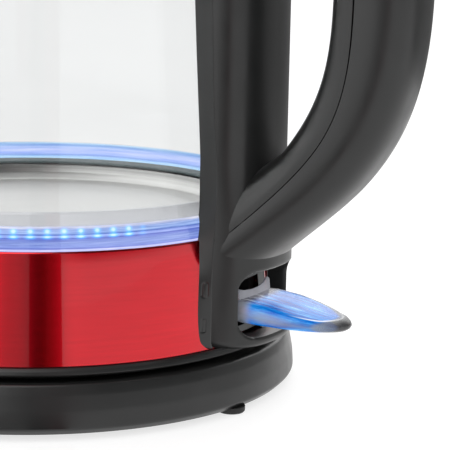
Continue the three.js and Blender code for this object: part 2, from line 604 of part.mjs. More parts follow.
function release() {
  const leg = sideways([
    [68.6, BUTTON_LOW + 0.5], [68.6, LATCH_LOW + 0.05], [69.6, LATCH_LOW + 0.05],
    [71.6, LATCH_LOW + 2.05], [71.6, BUTTON_LOW + 0.5],
  ], 2.4);
  const cap = block(BUTTON_X0, BUTTON_X1, -BUTTON_HALF_WIDTH, BUTTON_HALF_WIDTH, BUTTON_LOW, BUTTON_TOP);
  add('lid_button', join(cap, leg), BLACK);
  const slot = sideways([
    [64.7, LATCH_LOW - 1], [69, LATCH_LOW - 1], [73.5, LATCH_HIGH + 1], [64.7, LATCH_HIGH + 1],
  ], 2.9);
  add('lid_latch', cut(block(62.2, 73.8, -6, 6, LATCH_LOW, LATCH_HIGH), slot), WHITE);

  const turns = 6;
  const [low, high] = [205.6, 222.5];
  const wire = 0.45;
  const points = Array.from({ length: turns * 8 + 1 }, (_, k) => {
    const turn = (2 * Math.PI * k) / 8;
    const z = low + wire + ((high - low - 2 * wire) * k) / (turns * 8);
    return new THREE.Vector3(81.7 + 3 * Math.cos(turn), 3 * Math.sin(turn), z);
  });
  const ring = new THREE.Shape().absarc(0, 0, wire, 0, 2 * Math.PI);
  const coil = new THREE.ExtrudeGeometry(ring, {
    extrudePath: new THREE.CatmullRomCurve3(points), steps: turns * 8, curveSegments: 3,
  });
  add('button_spring', toSolid(coil), STEEL);
}

powerBase();
coupler();
lowerBody();
controls();
switchLever();
upperBody();
lid();
handle();
release();

export default group;
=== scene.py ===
# Looks for the glass electric kettle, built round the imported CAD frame. Work is in millimetres
# about the kettle's own upright axis; mesh() turns it into metres in the frame's axes.
import math

import bpy
from mathutils import Matrix, Vector


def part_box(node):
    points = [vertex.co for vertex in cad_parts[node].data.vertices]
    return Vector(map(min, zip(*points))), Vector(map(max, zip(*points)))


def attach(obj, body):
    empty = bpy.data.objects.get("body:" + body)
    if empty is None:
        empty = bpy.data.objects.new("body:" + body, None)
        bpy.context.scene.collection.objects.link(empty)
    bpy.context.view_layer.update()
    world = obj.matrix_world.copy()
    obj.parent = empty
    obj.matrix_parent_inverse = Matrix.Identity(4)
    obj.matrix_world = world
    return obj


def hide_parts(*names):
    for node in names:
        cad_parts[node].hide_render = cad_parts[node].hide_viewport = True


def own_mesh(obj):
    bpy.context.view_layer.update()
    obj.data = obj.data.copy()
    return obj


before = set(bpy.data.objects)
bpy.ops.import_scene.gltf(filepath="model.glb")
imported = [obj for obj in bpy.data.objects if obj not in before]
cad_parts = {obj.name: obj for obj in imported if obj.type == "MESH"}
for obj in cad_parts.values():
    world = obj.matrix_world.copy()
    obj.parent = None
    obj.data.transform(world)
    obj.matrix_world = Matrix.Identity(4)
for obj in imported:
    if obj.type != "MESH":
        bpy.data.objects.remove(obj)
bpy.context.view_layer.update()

# ---------- sizes read from the frame, in millimetres ----------
AXIS = (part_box("glass_body")[0].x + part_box("glass_body")[1].x) * 500


def size(node):
    """Outer radius, lowest and highest level of a round piece."""
    low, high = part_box(node)
    return (high.y - low.y) * 500, low.z * 1000, high.z * 1000


BASE_R, BASE_LOW, _ = size("power_base_shell")
RING_R, _, _ = size("kettle_base_ring")
SKIRT_R, SKIRT_LOW, SKIRT_TOP = size("steel_skirt")
LIGHT_R, LIGHT_LOW, LIGHT_TOP = size("light_ring")
GLASS_R, GLASS_LOW, GLASS_TOP = size("glass_body")
COLLAR_R, COLLAR_LOW, COLLAR_TOP = size("top_collar")
LID_R, _, LID_TOP = size("lid_cover")
_, _, PLATE_RIM = size("heating_plate")
SPOUT_TIP = -(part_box("top_collar")[0].x * 1000 - AXIS)
_, COLUMN_LOW, _ = size("handle_shell")
_, STRIP_LOW, STRIP_TOP = size("column_back_plate")
HANDLE_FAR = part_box("handle_shell")[1].x * 1000 - AXIS
PADDLE_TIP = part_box("switch_paddle")[1].x * 1000 - AXIS

SKIRT_NECK = 70.3                     # outer radius of the skirt at its top
GLASS_WALL = 2.6
GLASS_BEND = 73                       # level where the glass starts to lean in
GLASS_LEAN = 0.0525
BASE_RIM_Z = 15.3
PLATE_FLOOR = 49.2
COLUMN_CENTRE = 66
COLUMN_HALF = 18.8
COLUMN_NOSE = 15.4
COLUMN_FOOT = 2.6                     # how much further the column stands out round the lever
COLUMN_POWER = 2.6
COLUMN_TOP = 202.2
HANDLE_X = 113.4
HANDLE_HALF = 14.2
HANDLE_OUT = HANDLE_FAR - HANDLE_X
ARM_Z = 213.5
HINGE_X, HINGE_Z = 58, 218.5
PADDLE_ROOT = 84.5                    # where the paddle starts to round towards its tip
PADDLE_HALF = 12.4
WINDOW = (15.0, 22.4, 41.2, 5.0)      # half width, lowest, highest and corner radius
LED_COUNT = 96
SPOUT_LOW = 198

# ---------- small helpers ----------


def mesh(name, points, faces, look, body, replaces=(), slot=None, sharp=32, axis=True):
    """A mesh from millimetre points about the kettle's axis, shaded smooth below the sharp angle."""
    shift = AXIS if axis else 0
    data = bpy.data.meshes.new(name)
    data.from_pydata([((x + shift) / 1000, y / 1000, z / 1000) for x, y, z in points], [], faces)
    data.validate()
    data.update()
    piece = bpy.data.objects.new(name, data)
    bpy.context.scene.collection.objects.link(piece)
    data.shade_smooth()
    data.set_sharp_from_angle(angle=math.radians(sharp))
    data.materials.append(look)
    if body:
        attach(piece, body)
    if replaces:
        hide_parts(*replaces)
    return piece


def fillet(points, closed=True, steps=4):
    """Rounds the corners of a 2-D line; each point is (u, v) or (u, v, radius)."""
    out = []
    count = len(points)
    for i, point in enumerate(points):
        here = Vector(point[:2])
        radius = point[2] if len(point) > 2 else 0
        if radius <= 0 or (not closed and i in (0, count - 1)):
            out.append(tuple(here))
            continue
        a = Vector(points[i - 1][:2]) - here
        b = Vector(points[(i + 1) % count][:2]) - here
        angle = a.angle(b)
        if angle > math.pi - 0.02:
            out.append(tuple(here))
            continue
        reach = min(radius / math.tan(angle / 2), a.length * 0.49, b.length * 0.49)
        p0, p1 = here + a.normalized() * reach, here + b.normalized() * reach
        for k in range(steps + 1):
            t = k / steps
            out.append(tuple(p0 * (1 - t) ** 2 + here * 2 * t * (1 - t) + p1 * t * t))
    return out


def turned(name, profile, look, body, sides=192, arc=(0, 360), **more):
    """A closed [radius, level] profile turned about the kettle's axis, all round or over an arc."""
    line = fillet(profile)
    full = arc[1] - arc[0] >= 360
    count = sides if full else sides + 1
    points, faces = [], []
    for k in range(count):
        turn = math.radians(arc[0] + (arc[1] - arc[0]) * k / sides)
        points += [(r * math.cos(turn), r * math.sin(turn), z) for r, z in line]
    n = len(line)
    for k in range(sides):
        a, b = k * n, ((k + 1) % count) * n
        for i in range(n):
            j = (i + 1) % n
            faces.append((a + i, b + i, b + j, a + j))
    if not full:
        faces += [tuple(range(n)), tuple(reversed(range(sides * n, (sides + 1) * n)))]
    area = sum(line[i - 1][0] * line[i][1] - line[i][0] * line[i - 1][1] for i in range(n))
    if area < 0:
        faces = [tuple(reversed(f)) for f in faces]
    return mesh(name, points, faces, look, body, **more)


def lofted(name, rings, look, body, caps=True, **more):
    """A skin over closed rings of points, capped at both ends."""
    n = len(rings[0])
    points = [p for ring in rings for p in ring]
    faces = []
    for k in range(len(rings) - 1):
        for i in range(n):
            j = (i + 1) % n
            faces.append((k * n + i, k * n + j, (k + 1) * n + j, (k + 1) * n + i))
    if caps:
        faces += [tuple(reversed(range(n))), tuple(range((len(rings) - 1) * n, len(rings) * n))]
    return mesh(name, points, faces, look, body, **more)


def circle(x, y, radius, sides):
    turns = [math.tau * k / sides for k in range(sides)]
    return [(x + radius * math.cos(t), y + radius * math.sin(t)) for t in turns]


def bulge(value, power):
    """A sine or cosine pushed outwards, which makes a circle into a rounded box."""
    return math.copysign(abs(value) ** (2 / power), value)


def superellipse(half_u, half_v, power, steps):
    """Points round a rounded box, evenly stepped in angle."""
    turns = [math.tau * k / steps for k in range(steps)]
    return [(half_u * bulge(math.cos(t), power), half_v * bulge(math.sin(t), power)) for t in turns]


def glass_radius(z, offset=0.0):
    return GLASS_R + offset - max(0, z - GLASS_BEND) * GLASS_LEAN


def skirt_radius(z):
    return SKIRT_R - (SKIRT_R - SKIRT_NECK) * (z - SKIRT_LOW) / (SKIRT_TOP - SKIRT_LOW)


def smoothstep(low, high, value):
    t = min(1, max(0, (value - low) / (high - low)))
    return t * t * (3 - 2 * t)


# ---------- materials ----------


class Look:
    """A node material or world in the making: add makes nodes, link joins sockets."""

    def __init__(self, name, world=None):
        self.material = bpy.data.materials.new(name) if world is None else world
        self.material.use_nodes = True
        self.tree = self.material.node_tree
        self.tree.nodes.clear()
        self.out = self.add("OutputMaterial" if world is None else "OutputWorld")

    def add(self, kind, **settings):
        node = self.tree.nodes.new("ShaderNode" + kind)
        for key, value in settings.items():
            setattr(node, key, value)
        return node

    def link(self, source, target):
        self.tree.links.new(source, target)

    def feed(self, sockets, values):
        """Sets each socket to a number or a colour, or links it from another socket."""
        for socket, value in zip(sockets, values):
            if isinstance(value, (int, float)):
                socket.default_value = value
            elif isinstance(value, tuple):
                socket.default_value = (*value, 1)
            else:
                self.link(value, socket)

    def principled(self, **values):
        node = self.add("BsdfPrincipled")
        self.feed([node.inputs[key.replace("_", " ")] for key in values], values.values())
        self.link(node.outputs[0], self.out.inputs[0])
        return node

    def clear(self):
        return self.add("BsdfTransparent").outputs[0]

    def math(self, operation, a, b=0.0):
        node = self.add("Math", operation=operation)
        self.feed(node.inputs, (a, b))
        return node.outputs[0]

    def hypot(self, a, b):
        return self.math("SQRT", self.math("ADD", self.math("MULTIPLY", a, a), self.math("MULTIPLY", b, b)))

    def fall(self, squared):
        """1 at no distance, falling smoothly with the square of the distance."""
        return self.math("POWER", 2.718, self.math("MULTIPLY", squared, -1.0))

    def bell(self, value, centre, width):
        """A smooth hump of height 1 about a centre."""
        off = self.math("DIVIDE", self.math("SUBTRACT", value, centre), width)
        return self.fall(self.math("MULTIPLY", off, off))

    def place(self):
        return self.add("TexCoord").outputs["Object"]

    def position(self):
        """Millimetres about the kettle's axis, as x, y and z sockets."""
        split = self.add("SeparateXYZ")
        self.link(self.place(), split.inputs[0])
        x, y, z = [self.math("MULTIPLY", socket, 1000) for socket in split.outputs]
        return self.math("SUBTRACT", x, AXIS), y, z

    def turn_and_level(self):
        """The angle about the kettle's axis and the level."""
        x, y, z = self.position()
        return self.math("ARCTAN2", y, x), z

    def noise(self, where, scale, detail=3, rough=0.5):
        node = self.add("TexNoise")
        self.feed([node.inputs[key] for key in ("Vector", "Scale", "Detail", "Roughness")],
                  (where, scale, detail, rough))
        return node.outputs[0]

    def streaks(self, parts, detail=3, rough=0.5):
        """Noise drawn out by its parts, each a socket and its frequency or a plain number."""
        node = self.add("CombineXYZ")
        self.feed(node.inputs, [self.math("MULTIPLY", *p) if isinstance(p, tuple) else p for p in parts])
        return self.noise(node.outputs[0], 1.0, detail, rough)

    def ramp(self, value, stops):
        """Colours along a value, from (place, colour or grey) stops."""
        node = self.add("ValToRGB")
        while len(node.color_ramp.elements) < len(stops):
            node.color_ramp.elements.new(0.5)
        for element, (at, colour) in zip(node.color_ramp.elements, stops):
            element.position = at
            element.color = (*colour, 1) if isinstance(colour, tuple) else (colour, colour, colour, 1)
        self.link(value, node.inputs[0])
        return node.outputs[0]

    def tint(self, kind, base, other, share=1.0):
        """Two colours combined, such as multiplied or screened."""
        node = self.add("MixRGB", blend_type=kind)
        self.feed(node.inputs, (share, base, other))
        return node.outputs[0]

    def blend(self, share, first, second):
        """Two shaders mixed by a share, a number or a socket."""
        node = self.add("MixShader")
        self.feed(node.inputs, (share, first, second))
        return node.outputs[0]

    def span(self, value, low, high, to_low=0.0, to_high=1.0, smooth=False):
        node = self.add("MapRange", interpolation_type="SMOOTHSTEP" if smooth else "LINEAR")
        self.feed(node.inputs, (value, low, high, to_low, to_high))
        return node.outputs[0]

    def bump(self, shader, height, strength, distance):
        node = self.add("Bump")
        node.inputs["Strength"].default_value = strength
        node.inputs["Distance"].default_value = distance
        self.link(height, node.inputs["Height"])
        self.link(node.outputs[0], shader.inputs["Normal"])


def shades(tone, darker, lighter):
    return [tuple(min(1, c * share) for c in tone) for share in (darker, lighter)]


def moulded(name, tone, rough, grain=0.10):
    """Satin moulded plastic: a fine spark texture, slight shade drift and uneven gloss."""
    look = Look(name)
    shader = look.principled(Roughness=rough, IOR=1.49)
    place = look.place()
    dark, light = shades(tone, 0.88, 1.12)
    look.link(look.ramp(look.noise(place, 35, 2), [(0.3, dark), (0.7, light)]), shader.inputs["Base Color"])
    look.link(look.span(look.noise(place, 120, 3), 0.3, 0.7, rough - 0.05, rough + 0.05),
              shader.inputs["Roughness"])
    look.bump(shader, look.noise(place, 2600, 2, 0.6), grain, 0.0001)
    return look.material


def red_lacquer():
    """Clear red lacquer over steel brushed round the body, so its shine spreads up and down."""
    look = Look("red_lacquer")
    shader = look.principled(Metallic=1.0, Roughness=0.24, Coat_Weight=0.75, Coat_Roughness=0.03,
                             Coat_IOR=1.5, Anisotropic=0.65, Anisotropic_Rotation=0.25)
    look.link(look.add("Tangent", direction_type="RADIAL", axis="Z").outputs[0], shader.inputs["Tangent"])
    turn, z = look.turn_and_level()
    brush = look.streaks([(turn, 14), (z, 9), 0.0], 4, 0.6)
    broad = look.streaks([(turn, 4), (z, 1.1), 3.0], 2)
    mixed = look.math("ADD", look.math("MULTIPLY", brush, 0.6), look.math("MULTIPLY", broad, 0.4))
    colour = look.ramp(mixed, [(0.30, (0.57, 0.004, 0.012)), (0.5, (0.63, 0.005, 0.015)),
                               (0.70, (0.70, 0.008, 0.021))])
    look.link(colour, shader.inputs["Base Color"])
    look.link(look.span(brush, 0.3, 0.7, 0.21, 0.27), shader.inputs["Roughness"])
    look.bump(shader, brush, 0.05, 0.0001)
    return look.material


def brushed_steel(name, tone=(0.62, 0.62, 0.61), rings=True, rough=0.25, strength=0.08, painted_shade=None):
    """Steel turned in fine rings about the axis or brushed along x.

    The painted_shade, (low, high, share), is painted shade: it darkens the colour to a share of itself,
    fading in between two levels and full above the higher one."""
    look = Look(name)
    shader = look.principled(Metallic=1.0, Roughness=rough)
    x, y, z = look.position()
    parts = [(look.hypot(x, y), 4.0), (look.math("ARCTAN2", y, x), 0.6), (z, 4.0)] if rings else \
        [(x, 0.5), (y, 5.0), (z, 5.0)]
    line = look.streaks(parts, 4, 0.65)
    dark, light = shades(tone, 0.86, 1.12)
    colour = look.ramp(line, [(0.35, dark), (0.65, light)])
    # Painted shade: the colour is darkened from the low level upwards.
    if painted_shade:
        low, high, share = painted_shade
        colour = look.tint("MULTIPLY", colour, look.ramp(look.span(z, low, high), [(0.0, 1.0), (1.0, share)]))
    look.link(colour, shader.inputs["Base Color"])
    look.link(look.span(line, 0.3, 0.7, rough - 0.06, rough + 0.08), shader.inputs["Roughness"])
    look.bump(shader, line, strength, 0.0002)
    return look.material


def clear_shell(name, tint, gloss=0.04, edge=0.55, haze=None):
    """A clear wall seen as a thin film: it lets light straight through and shines more at its edges."""
    look = Look(name)
    through = look.add("BsdfTransparent")
    through.inputs["Color"].default_value = (*tint, 1)
    shine = look.add("BsdfGlossy")
    shine.inputs["Roughness"].default_value = 0.02
    facing = look.add("LayerWeight")
    facing.inputs["Blend"].default_value = 0.5
    share = look.ramp(facing.outputs["Facing"],
                      [(0.0, gloss), (0.75, gloss * 1.6), (0.93, edge * 0.35), (1.0, edge)])
    last = look.blend(share, through.outputs[0], shine.outputs[0])
    if haze:
        colour, amount = haze
        veil = look.add("BsdfDiffuse")
        veil.inputs["Color"].default_value = (*colour, 1)
        cloud = look.span(look.noise(look.place(), 60, 2), 0.3, 0.7, amount * 0.6, amount * 1.4)
        last = look.blend(cloud, last, veil.outputs[0])
    look.link(last, look.out.inputs[0])
    return look.material


def one_sided(look, front, back):
    """Shows one shader on the side that the faces point to and another from behind."""
    look.link(look.blend(look.add("NewGeometry").outputs["Backfacing"], front, back), look.out.inputs[0])
    return look.material


def led_band():
    """The lit band of the light ring: lamps at even pitch, a painted reflection of each lamp just below it
    and a translucent blue face.
    """
    look = Look("led_band")
    turn, z = look.turn_and_level()
    wave = look.math("FRACT", look.math("ADD", look.math("MULTIPLY", turn, LED_COUNT / math.tau), 0.70))
    off = look.math("ABSOLUTE", look.math("SUBTRACT", wave, 0.5))
    level = look.span(z, LIGHT_LOW, LIGHT_LOW + 7)
    face = look.ramp(level, [
        (0.0, (0.62, 0.62, 0.98)), (0.085, (0.66, 0.68, 1.0)), (0.12, (0.13, 0.18, 0.62)),
        (0.20, (0.24, 0.33, 0.74)), (0.36, (0.22, 0.31, 0.68)), (0.49, (0.14, 0.20, 0.62)),
        (0.53, (0.04, 0.08, 0.50)), (0.58, (0.34, 0.44, 0.86)), (0.63, (0.30, 0.40, 0.84)),
        (0.67, (0.05, 0.12, 0.50)), (0.73, (0.34, 0.50, 0.86)), (0.87, (0.34, 0.46, 0.78)),
        (0.93, (0.66, 0.68, 0.80)), (1.0, (0.72, 0.74, 0.84)),
    ])
    streak = look.streaks([(turn, 6), (z, 2.4), 1.0], 4, 0.65)
    shade = look.tint("MULTIPLY", face, look.ramp(streak, [
        (0.34, (0.62, 0.66, 0.80)), (0.5, (0.96, 0.97, 1.0)), (0.66, (1.45, 1.35, 1.12)),
    ]))

    def spot(z0, half_z, half_turn):
        dz = look.math("DIVIDE", look.math("SUBTRACT", z, z0), half_z)
        dt = look.math("DIVIDE", off, half_turn)
        return look.fall(look.math("ADD", look.math("MULTIPLY", dz, dz), look.math("MULTIPLY", dt, dt)))

    # The row of lamps stops short of the column on both sides.
    open_side = look.span(look.math("ABSOLUTE", turn), 0.50, 0.60, smooth=True)
    # Painted reflection: a fainter row of spots below the lamps stands in for their reflection in the lens.
    mirrored = look.math("MULTIPLY", spot(LIGHT_LOW + 4.15, 0.46, 0.28), 0.9)
    lamps = look.math("ADD", spot(LIGHT_LOW + 5.65, 0.72, 0.19), mirrored)
    lamp = look.ramp(look.math("MULTIPLY", lamps, open_side), [
        (0.0, (0, 0, 0)), (0.25, (0.0, 0.20, 0.85)), (0.55, (0.02, 0.62, 1.0)), (0.85, (0.60, 1.0, 1.0)),
    ])
    shader = look.principled(Base_Color=(0.04, 0.05, 0.12), Roughness=0.25)
    look.link(look.tint("SCREEN", shade, lamp), shader.inputs["Emission Color"])
    shader.inputs["Emission Strength"].default_value = 0.95
    return one_sided(look, shader.outputs[0], look.clear())


def lip_glow():
    """Light carried up the ring's lip, seen only from inside the kettle."""
    look = Look("lip_glow")
    turn, z = look.turn_and_level()
    colour = look.ramp(look.span(z, LIGHT_LOW + 4.0, LIGHT_TOP), [
        (0.0, (0.28, 0.52, 0.66)), (0.10, (0.46, 0.70, 0.86)), (0.26, (0.46, 0.70, 1.0)),
        (0.34, (0.24, 0.38, 0.80)), (0.42, (0.42, 0.54, 1.0)), (0.58, (0.56, 0.64, 1.0)),
        (0.72, (0.46, 0.58, 0.95)), (0.84, (0.30, 0.48, 0.84)), (0.94, (0.44, 0.64, 0.86)),
        (1.0, (0.70, 0.84, 0.92)),
    ])
    streak = look.streaks([(turn, 3.5), (z, 1.5), 5.0])
    patches = look.ramp(streak, [(0.32, (0.74, 0.82, 0.95)), (0.68, (1.2, 1.15, 1.05))])
    glow = look.add("Emission")
    look.link(look.tint("MULTIPLY", colour, patches), glow.inputs[0])
    glow.inputs[1].default_value = 1.4
    return one_sided(look, look.clear(), glow.outputs[0])


def lip_veil():
    """The clear upper lip of the ring from outside: faintly grey, with a painted highlight glowing along its
    upper and lower edges.
    """
    look = Look("lip_veil")
    z = look.position()[2]
    through = look.add("BsdfTransparent")
    level = look.span(z, LIGHT_LOW + 6.8, LIGHT_TOP)
    veil = look.ramp(level, [(0.0, (0.86, 0.88, 0.95)), (0.2, (0.96, 0.96, 0.97)), (0.8, 0.97), (0.95, 0.93)])
    look.link(veil, through.inputs["Color"])
    # Painted highlight: a pale emission glows along the lip's lower and upper edges and very faintly over the
    # rest.
    edge = look.add("Emission")
    edge.inputs[0].default_value = (0.92, 0.93, 0.96, 1)
    share = look.ramp(level, [(0.0, 0.10), (0.12, 0.01), (0.90, 0.01), (0.96, 0.12)])
    return one_sided(look, look.blend(share, through.outputs[0], edge.outputs[0]), look.clear())


def plain(name, tone, rough, metallic=0.0):
    """A plain engineering finish with slight mottling and fine bump."""
    look = Look(name)
    shader = look.principled(Roughness=rough, Metallic=metallic)
    place = look.place()
    spread = look.noise(place, 300, 3)
    dark, light = shades(tone, 0.88, 1.12)
    look.link(look.ramp(spread, [(0.3, dark), (0.7, light)]), shader.inputs["Base Color"])
    look.link(look.span(spread, 0.3, 0.7, max(0.02, rough - 0.07), rough + 0.07), shader.inputs["Roughness"])
    look.bump(shader, look.noise(place, 2400, 2), 0.12, 0.0001)
    return look.material


def lit_paddle():
    """Clear plastic with blue light running through it in fine streaks that close up towards the tip."""
    look = Look("lit_paddle")
    x, y, z = look.position()
    ahead = look.math("DIVIDE", look.math("SUBTRACT", x, PADDLE_ROOT), PADDLE_TIP - PADDLE_ROOT)
    ahead = look.math("MAXIMUM", ahead, 0.0)
    side = look.math("DIVIDE", y, PADDLE_HALF)
    narrow = look.math("SUBTRACT", 1.0, look.math("MULTIPLY", ahead, ahead))
    across = look.math("DIVIDE", side, look.math("SQRT", look.math("MAXIMUM", narrow, 0.05)))
    rho = look.hypot(ahead, side)
    streak = look.streaks([(x, 0.07), (across, 9.0), (z, 0.3)], 5, 0.72)
    patch = look.streaks([(x, 0.09), (across, 1.6), 2.0], 2)
    mixed = look.math("ADD", look.math("MULTIPLY", streak, 0.75), look.math("MULTIPLY", patch, 0.25))
    core = look.ramp(mixed, [
        (0.38, (0.0, 0.05, 0.34)), (0.47, (0.0, 0.13, 0.58)), (0.56, (0.012, 0.25, 0.74)),
        (0.63, (0.11, 0.45, 0.90)), (0.72, (0.62, 0.84, 1.0)),
    ])
    clear = look.ramp(streak, [(0.36, (0.03, 0.03, 0.05)), (0.48, (0.12, 0.12, 0.18)),
                               (0.58, (0.40, 0.41, 0.50)), (0.66, (0.95, 0.96, 1.0))])
    # Painted shade: the rim is painted blue-grey near the root and darker towards the tip, near black at it.
    rim = look.ramp(look.span(x, 88, PADDLE_TIP), [(0.0, (0.50, 0.56, 0.66)), (0.6, (0.30, 0.33, 0.38)),
                                                   (0.86, (0.06, 0.06, 0.07)), (1.0, (0.02, 0.02, 0.022))])
    # The light fills the blade to its -y edge and leaves a clear margin on its +y side and at the tip.
    lean = look.math("MULTIPLY", look.span(y, 5, -5), look.span(x, 105.5, 98, 0.0, 0.2))
    margin = look.math("SUBTRACT", rho, lean)
    inner = look.math("MULTIPLY", look.span(margin, 0.74, 0.84, 1.0, 0.0, smooth=True),
                      look.span(x, 77.5, 81.5, smooth=True))
    # Painted highlight: a pale line, painted just inside the paddle's outline towards the tip.
    painted_highlight_line = look.math("MULTIPLY", look.bell(rho, 0.87, 0.018), look.span(x, 90, 98, smooth=True))
    body = look.tint("MIX", clear, rim, look.span(rho, 0.74, 0.92, smooth=True))
    colour = look.tint("MIX", look.tint("MIX", body, core, inner), (0.9, 0.94, 1.0), painted_highlight_line)
    shader = look.principled(Roughness=0.10, IOR=1.49)
    look.link(look.tint("MULTIPLY", colour, (0.42, 0.42, 0.42)), shader.inputs["Base Color"])
    look.link(colour, shader.inputs["Emission Color"])
    look.link(look.span(inner, 0, 1, 0.12, 0.62), shader.inputs["Emission Strength"])
    look.bump(shader, streak, 0.25, 0.0004)
    solid = look.math("MAXIMUM", look.span(inner, 0.0, 0.6, 0.78, 1.0), look.span(x, 98, 105, 0.0, 0.95))
    look.link(look.blend(solid, look.clear(), shader.outputs[0]), look.out.inputs[0])
    return look.material


def pale_floor():
    """A pale glowing table top, as in a product studio, so that only faint shadows fall on it."""
    look = Look("pale_floor")
    shader = look.principled(Roughness=0.7, Emission_Strength=0.72, Emission_Color=(1.0, 1.0, 1.0))
    spread = look.ramp(look.noise(look.place(), 3, 2), [(0.3, 0.30), (0.7, 0.32)])
    look.link(spread, shader.inputs["Base Color"])
    return look.material


BLACK = moulded("satin_black", (0.011, 0.0113, 0.0113), 0.33)
DARK = moulded("dark_inside", (0.006, 0.006, 0.006), 0.5)
LINING = moulded("window_lining", (0.060, 0.064, 0.066), 0.45)
RUBBER = moulded("rubber", (0.010, 0.010, 0.010), 0.6, grain=0.2)
RED = red_lacquer()
# Painted shade: the turned steel is darkened above 52.6 mm, on the heating plate's upright wall and on the
# lid's pan.
STEEL = brushed_steel("turned_steel", tone=(0.56, 0.56, 0.55), rough=0.36, strength=0.03,
                      painted_shade=(50.6, 52.6, 0.55))
STEEL_PLAIN = brushed_steel("steel_plain", rings=False, rough=0.3)
GLASS = clear_shell("kettle_glass", (0.945, 0.948, 0.948), gloss=0.02, edge=0.5)
CLEAR = clear_shell("clear_ring", (0.97, 0.975, 1.0), gloss=0.05, edge=0.7)
PADDLE = clear_shell("clear_paddle", (0.93, 0.94, 0.97), gloss=0.06, edge=0.5,
                     haze=((0.75, 0.78, 0.85), 0.10))
UPSTAND = clear_shell("clear_upstand", (0.85, 0.85, 0.90), gloss=0.10, edge=0.6,
                      haze=((0.46, 0.47, 0.52), 0.4))
BAND = led_band()
LIP = lip_glow()
VEIL = lip_veil()
LIT_PADDLE = lit_paddle()
SILICONE = plain("silicone", (0.10, 0.135, 0.14), 0.5)
WHITE = plain("white_plastic", (0.72, 0.72, 0.69), 0.45)
BRASS = plain("brass", (0.72, 0.47, 0.16), 0.3, metallic=1.0)
ALUMINIUM = plain("aluminium", (0.72, 0.72, 0.73), 0.35, metallic=1.0)
BOARD = plain("circuit_board", (0.02, 0.12, 0.05), 0.4)
FLOOR = pale_floor()

# ---------- camera ----------


def make_camera():
    """The photograph's view: 560 mm from the kettle's axis, low, with the handle turned to the right."""
    heading, down, roll = 118.04, 10.54, 1.18        # degrees
    turn = math.radians(34)
    distance, height = 560, 149.3
    camera = bpy.data.objects.new("camera", bpy.data.cameras.new("camera"))
    bpy.context.scene.collection.objects.link(camera)
    camera.data.sensor_width = 36
    camera.data.lens = 148.26
    camera.data.clip_start = 0.05
    camera.data.clip_end = 60
    pose = (Matrix.Rotation(math.radians(heading - 90), 4, "Z")
            @ Matrix.Rotation(math.radians(90 - down), 4, "X")
            @ Matrix.Rotation(math.radians(roll), 4, "Z"))
    pose.translation = Vector((distance * math.sin(turn) + AXIS, -distance * math.cos(turn), height)) / 1000
    camera.matrix_world = pose
    bpy.context.scene.camera = camera


# ---------- power base ----------


def power_base():
    rim, deck = 77.9, 14.5
    turned("base_shell_fine", [
        (BASE_R - 1.9, BASE_LOW, 0.3), (BASE_R, 3.4, 1.6), (BASE_R - 0.3, 8, 12), (BASE_R - 1.2, 12.6, 8),
        (rim, BASE_RIM_Z, 1.0), (74.8, BASE_RIM_Z, 0.5), (73.6, deck, 0.4), (36, deck, 0.3),
        (35.4, deck - 0.5, 0.2), (34.4, deck - 0.5, 0.2), (33.8, deck, 0.3), (24, deck, 0.8),
        (22, deck + 1.5, 0.6), (16.2, deck + 1.5, 0.4),
        (16.2, deck - 2.2), (73, deck - 2.2, 1), (77.6, 4.2, 1), (77.6, BASE_LOW),
    ], BLACK, "power_base", replaces=["power_base_shell"], slot="black_plastic")
    turned("base_bottom_fine", [
        (0, 1.9), (20, 1.9, 0.2), (20.6, 2.3, 0.2), (22, 2.3, 0.2), (22.6, 1.9, 0.2), (48, 1.9, 0.2),
        (48.6, 2.3, 0.2), (50, 2.3, 0.2), (50.6, 1.9, 0.2), (75.6, 1.9, 0.4), (77.2, 2.6, 0.4), (77.2, 3.8),
        (0, 3.8),
    ], DARK, "power_base", sides=144, replaces=["base_bottom_plate"], slot="dark_plastic")
    for i in range(1, 5):
        low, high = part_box(f"rubber_foot_{i}")
        centre = (low + high) * 500
        radius = (high.x - low.x) * 500
        rings = [[(x, y, z) for x, y in circle(centre.x, centre.y, radius - inset, 48)]
                 for inset, z in ((1.0, 0.0), (0.45, 0.1), (0.1, 0.45), (0.0, 0.9), (0.0, 1.9))]
        lofted(f"foot_fine_{i}", rings, RUBBER, "power_base", replaces=[f"rubber_foot_{i}"], slot="rubber",
               axis=False)
    turned("connector_fine", [
        (2.6, 12.6), (14.2, 12.6), (14.2, 11.4), (15.9, 11.4), (15.9, 27.4, 0.8), (15, 28.4, 0.4),
        (12.6, 28.4, 0.4), (12.6, 18), (9.6, 18), (9.6, 26, 0.5), (2.6, 26, 0.4),
    ], WHITE, "power_base", sides=96, replaces=["base_connector"], slot="white_plastic")


def kettle_foot():
    turned("kettle_ring_fine", [
        (20, 17), (66, 17, 0.2), (66.6, 14.8, 0.4), (69.4, 14.8, 0.4), (70, 17, 0.2), (RING_R - 0.3, 17, 0.3),
        (RING_R, 17.5, 0.3), (RING_R - 0.3, 18.4, 0.4), (RING_R - 1.2, 19.05, 0.3), (72.2, 19.05),
        (20, 19.05),
    ], BLACK, "kettle", replaces=["kettle_base_ring"], slot="black_plastic")
    low, top = SKIRT_LOW, SKIRT_TOP
    turned("skirt_fine", [
        (SKIRT_R - 0.9, low - 0.2), (SKIRT_R, low - 0.2, 0.2), (SKIRT_R - 0.05, low + 0.4, 0.3),
        (70.9, top - 4, 14), (70.4, top, 0.3), (70.1, LIGHT_LOW + 0.05, 0.1), (69.4, LIGHT_LOW + 0.05),
    ], RED, "kettle", sides=360, arc=(12.5, 347.5), replaces=["steel_skirt"], slot="red_lacquer")
    turned("plate_seal_fine", [
        (63.4, PLATE_RIM + 0.3, 0.2), (67.1, PLATE_RIM + 0.3), (67.1, 55.2), (65.2, 54.9, 0.6),
        (63.4, 54.6, 0.5),
    ], SILICONE, "kettle", replaces=["plate_seal"], slot="silicone")


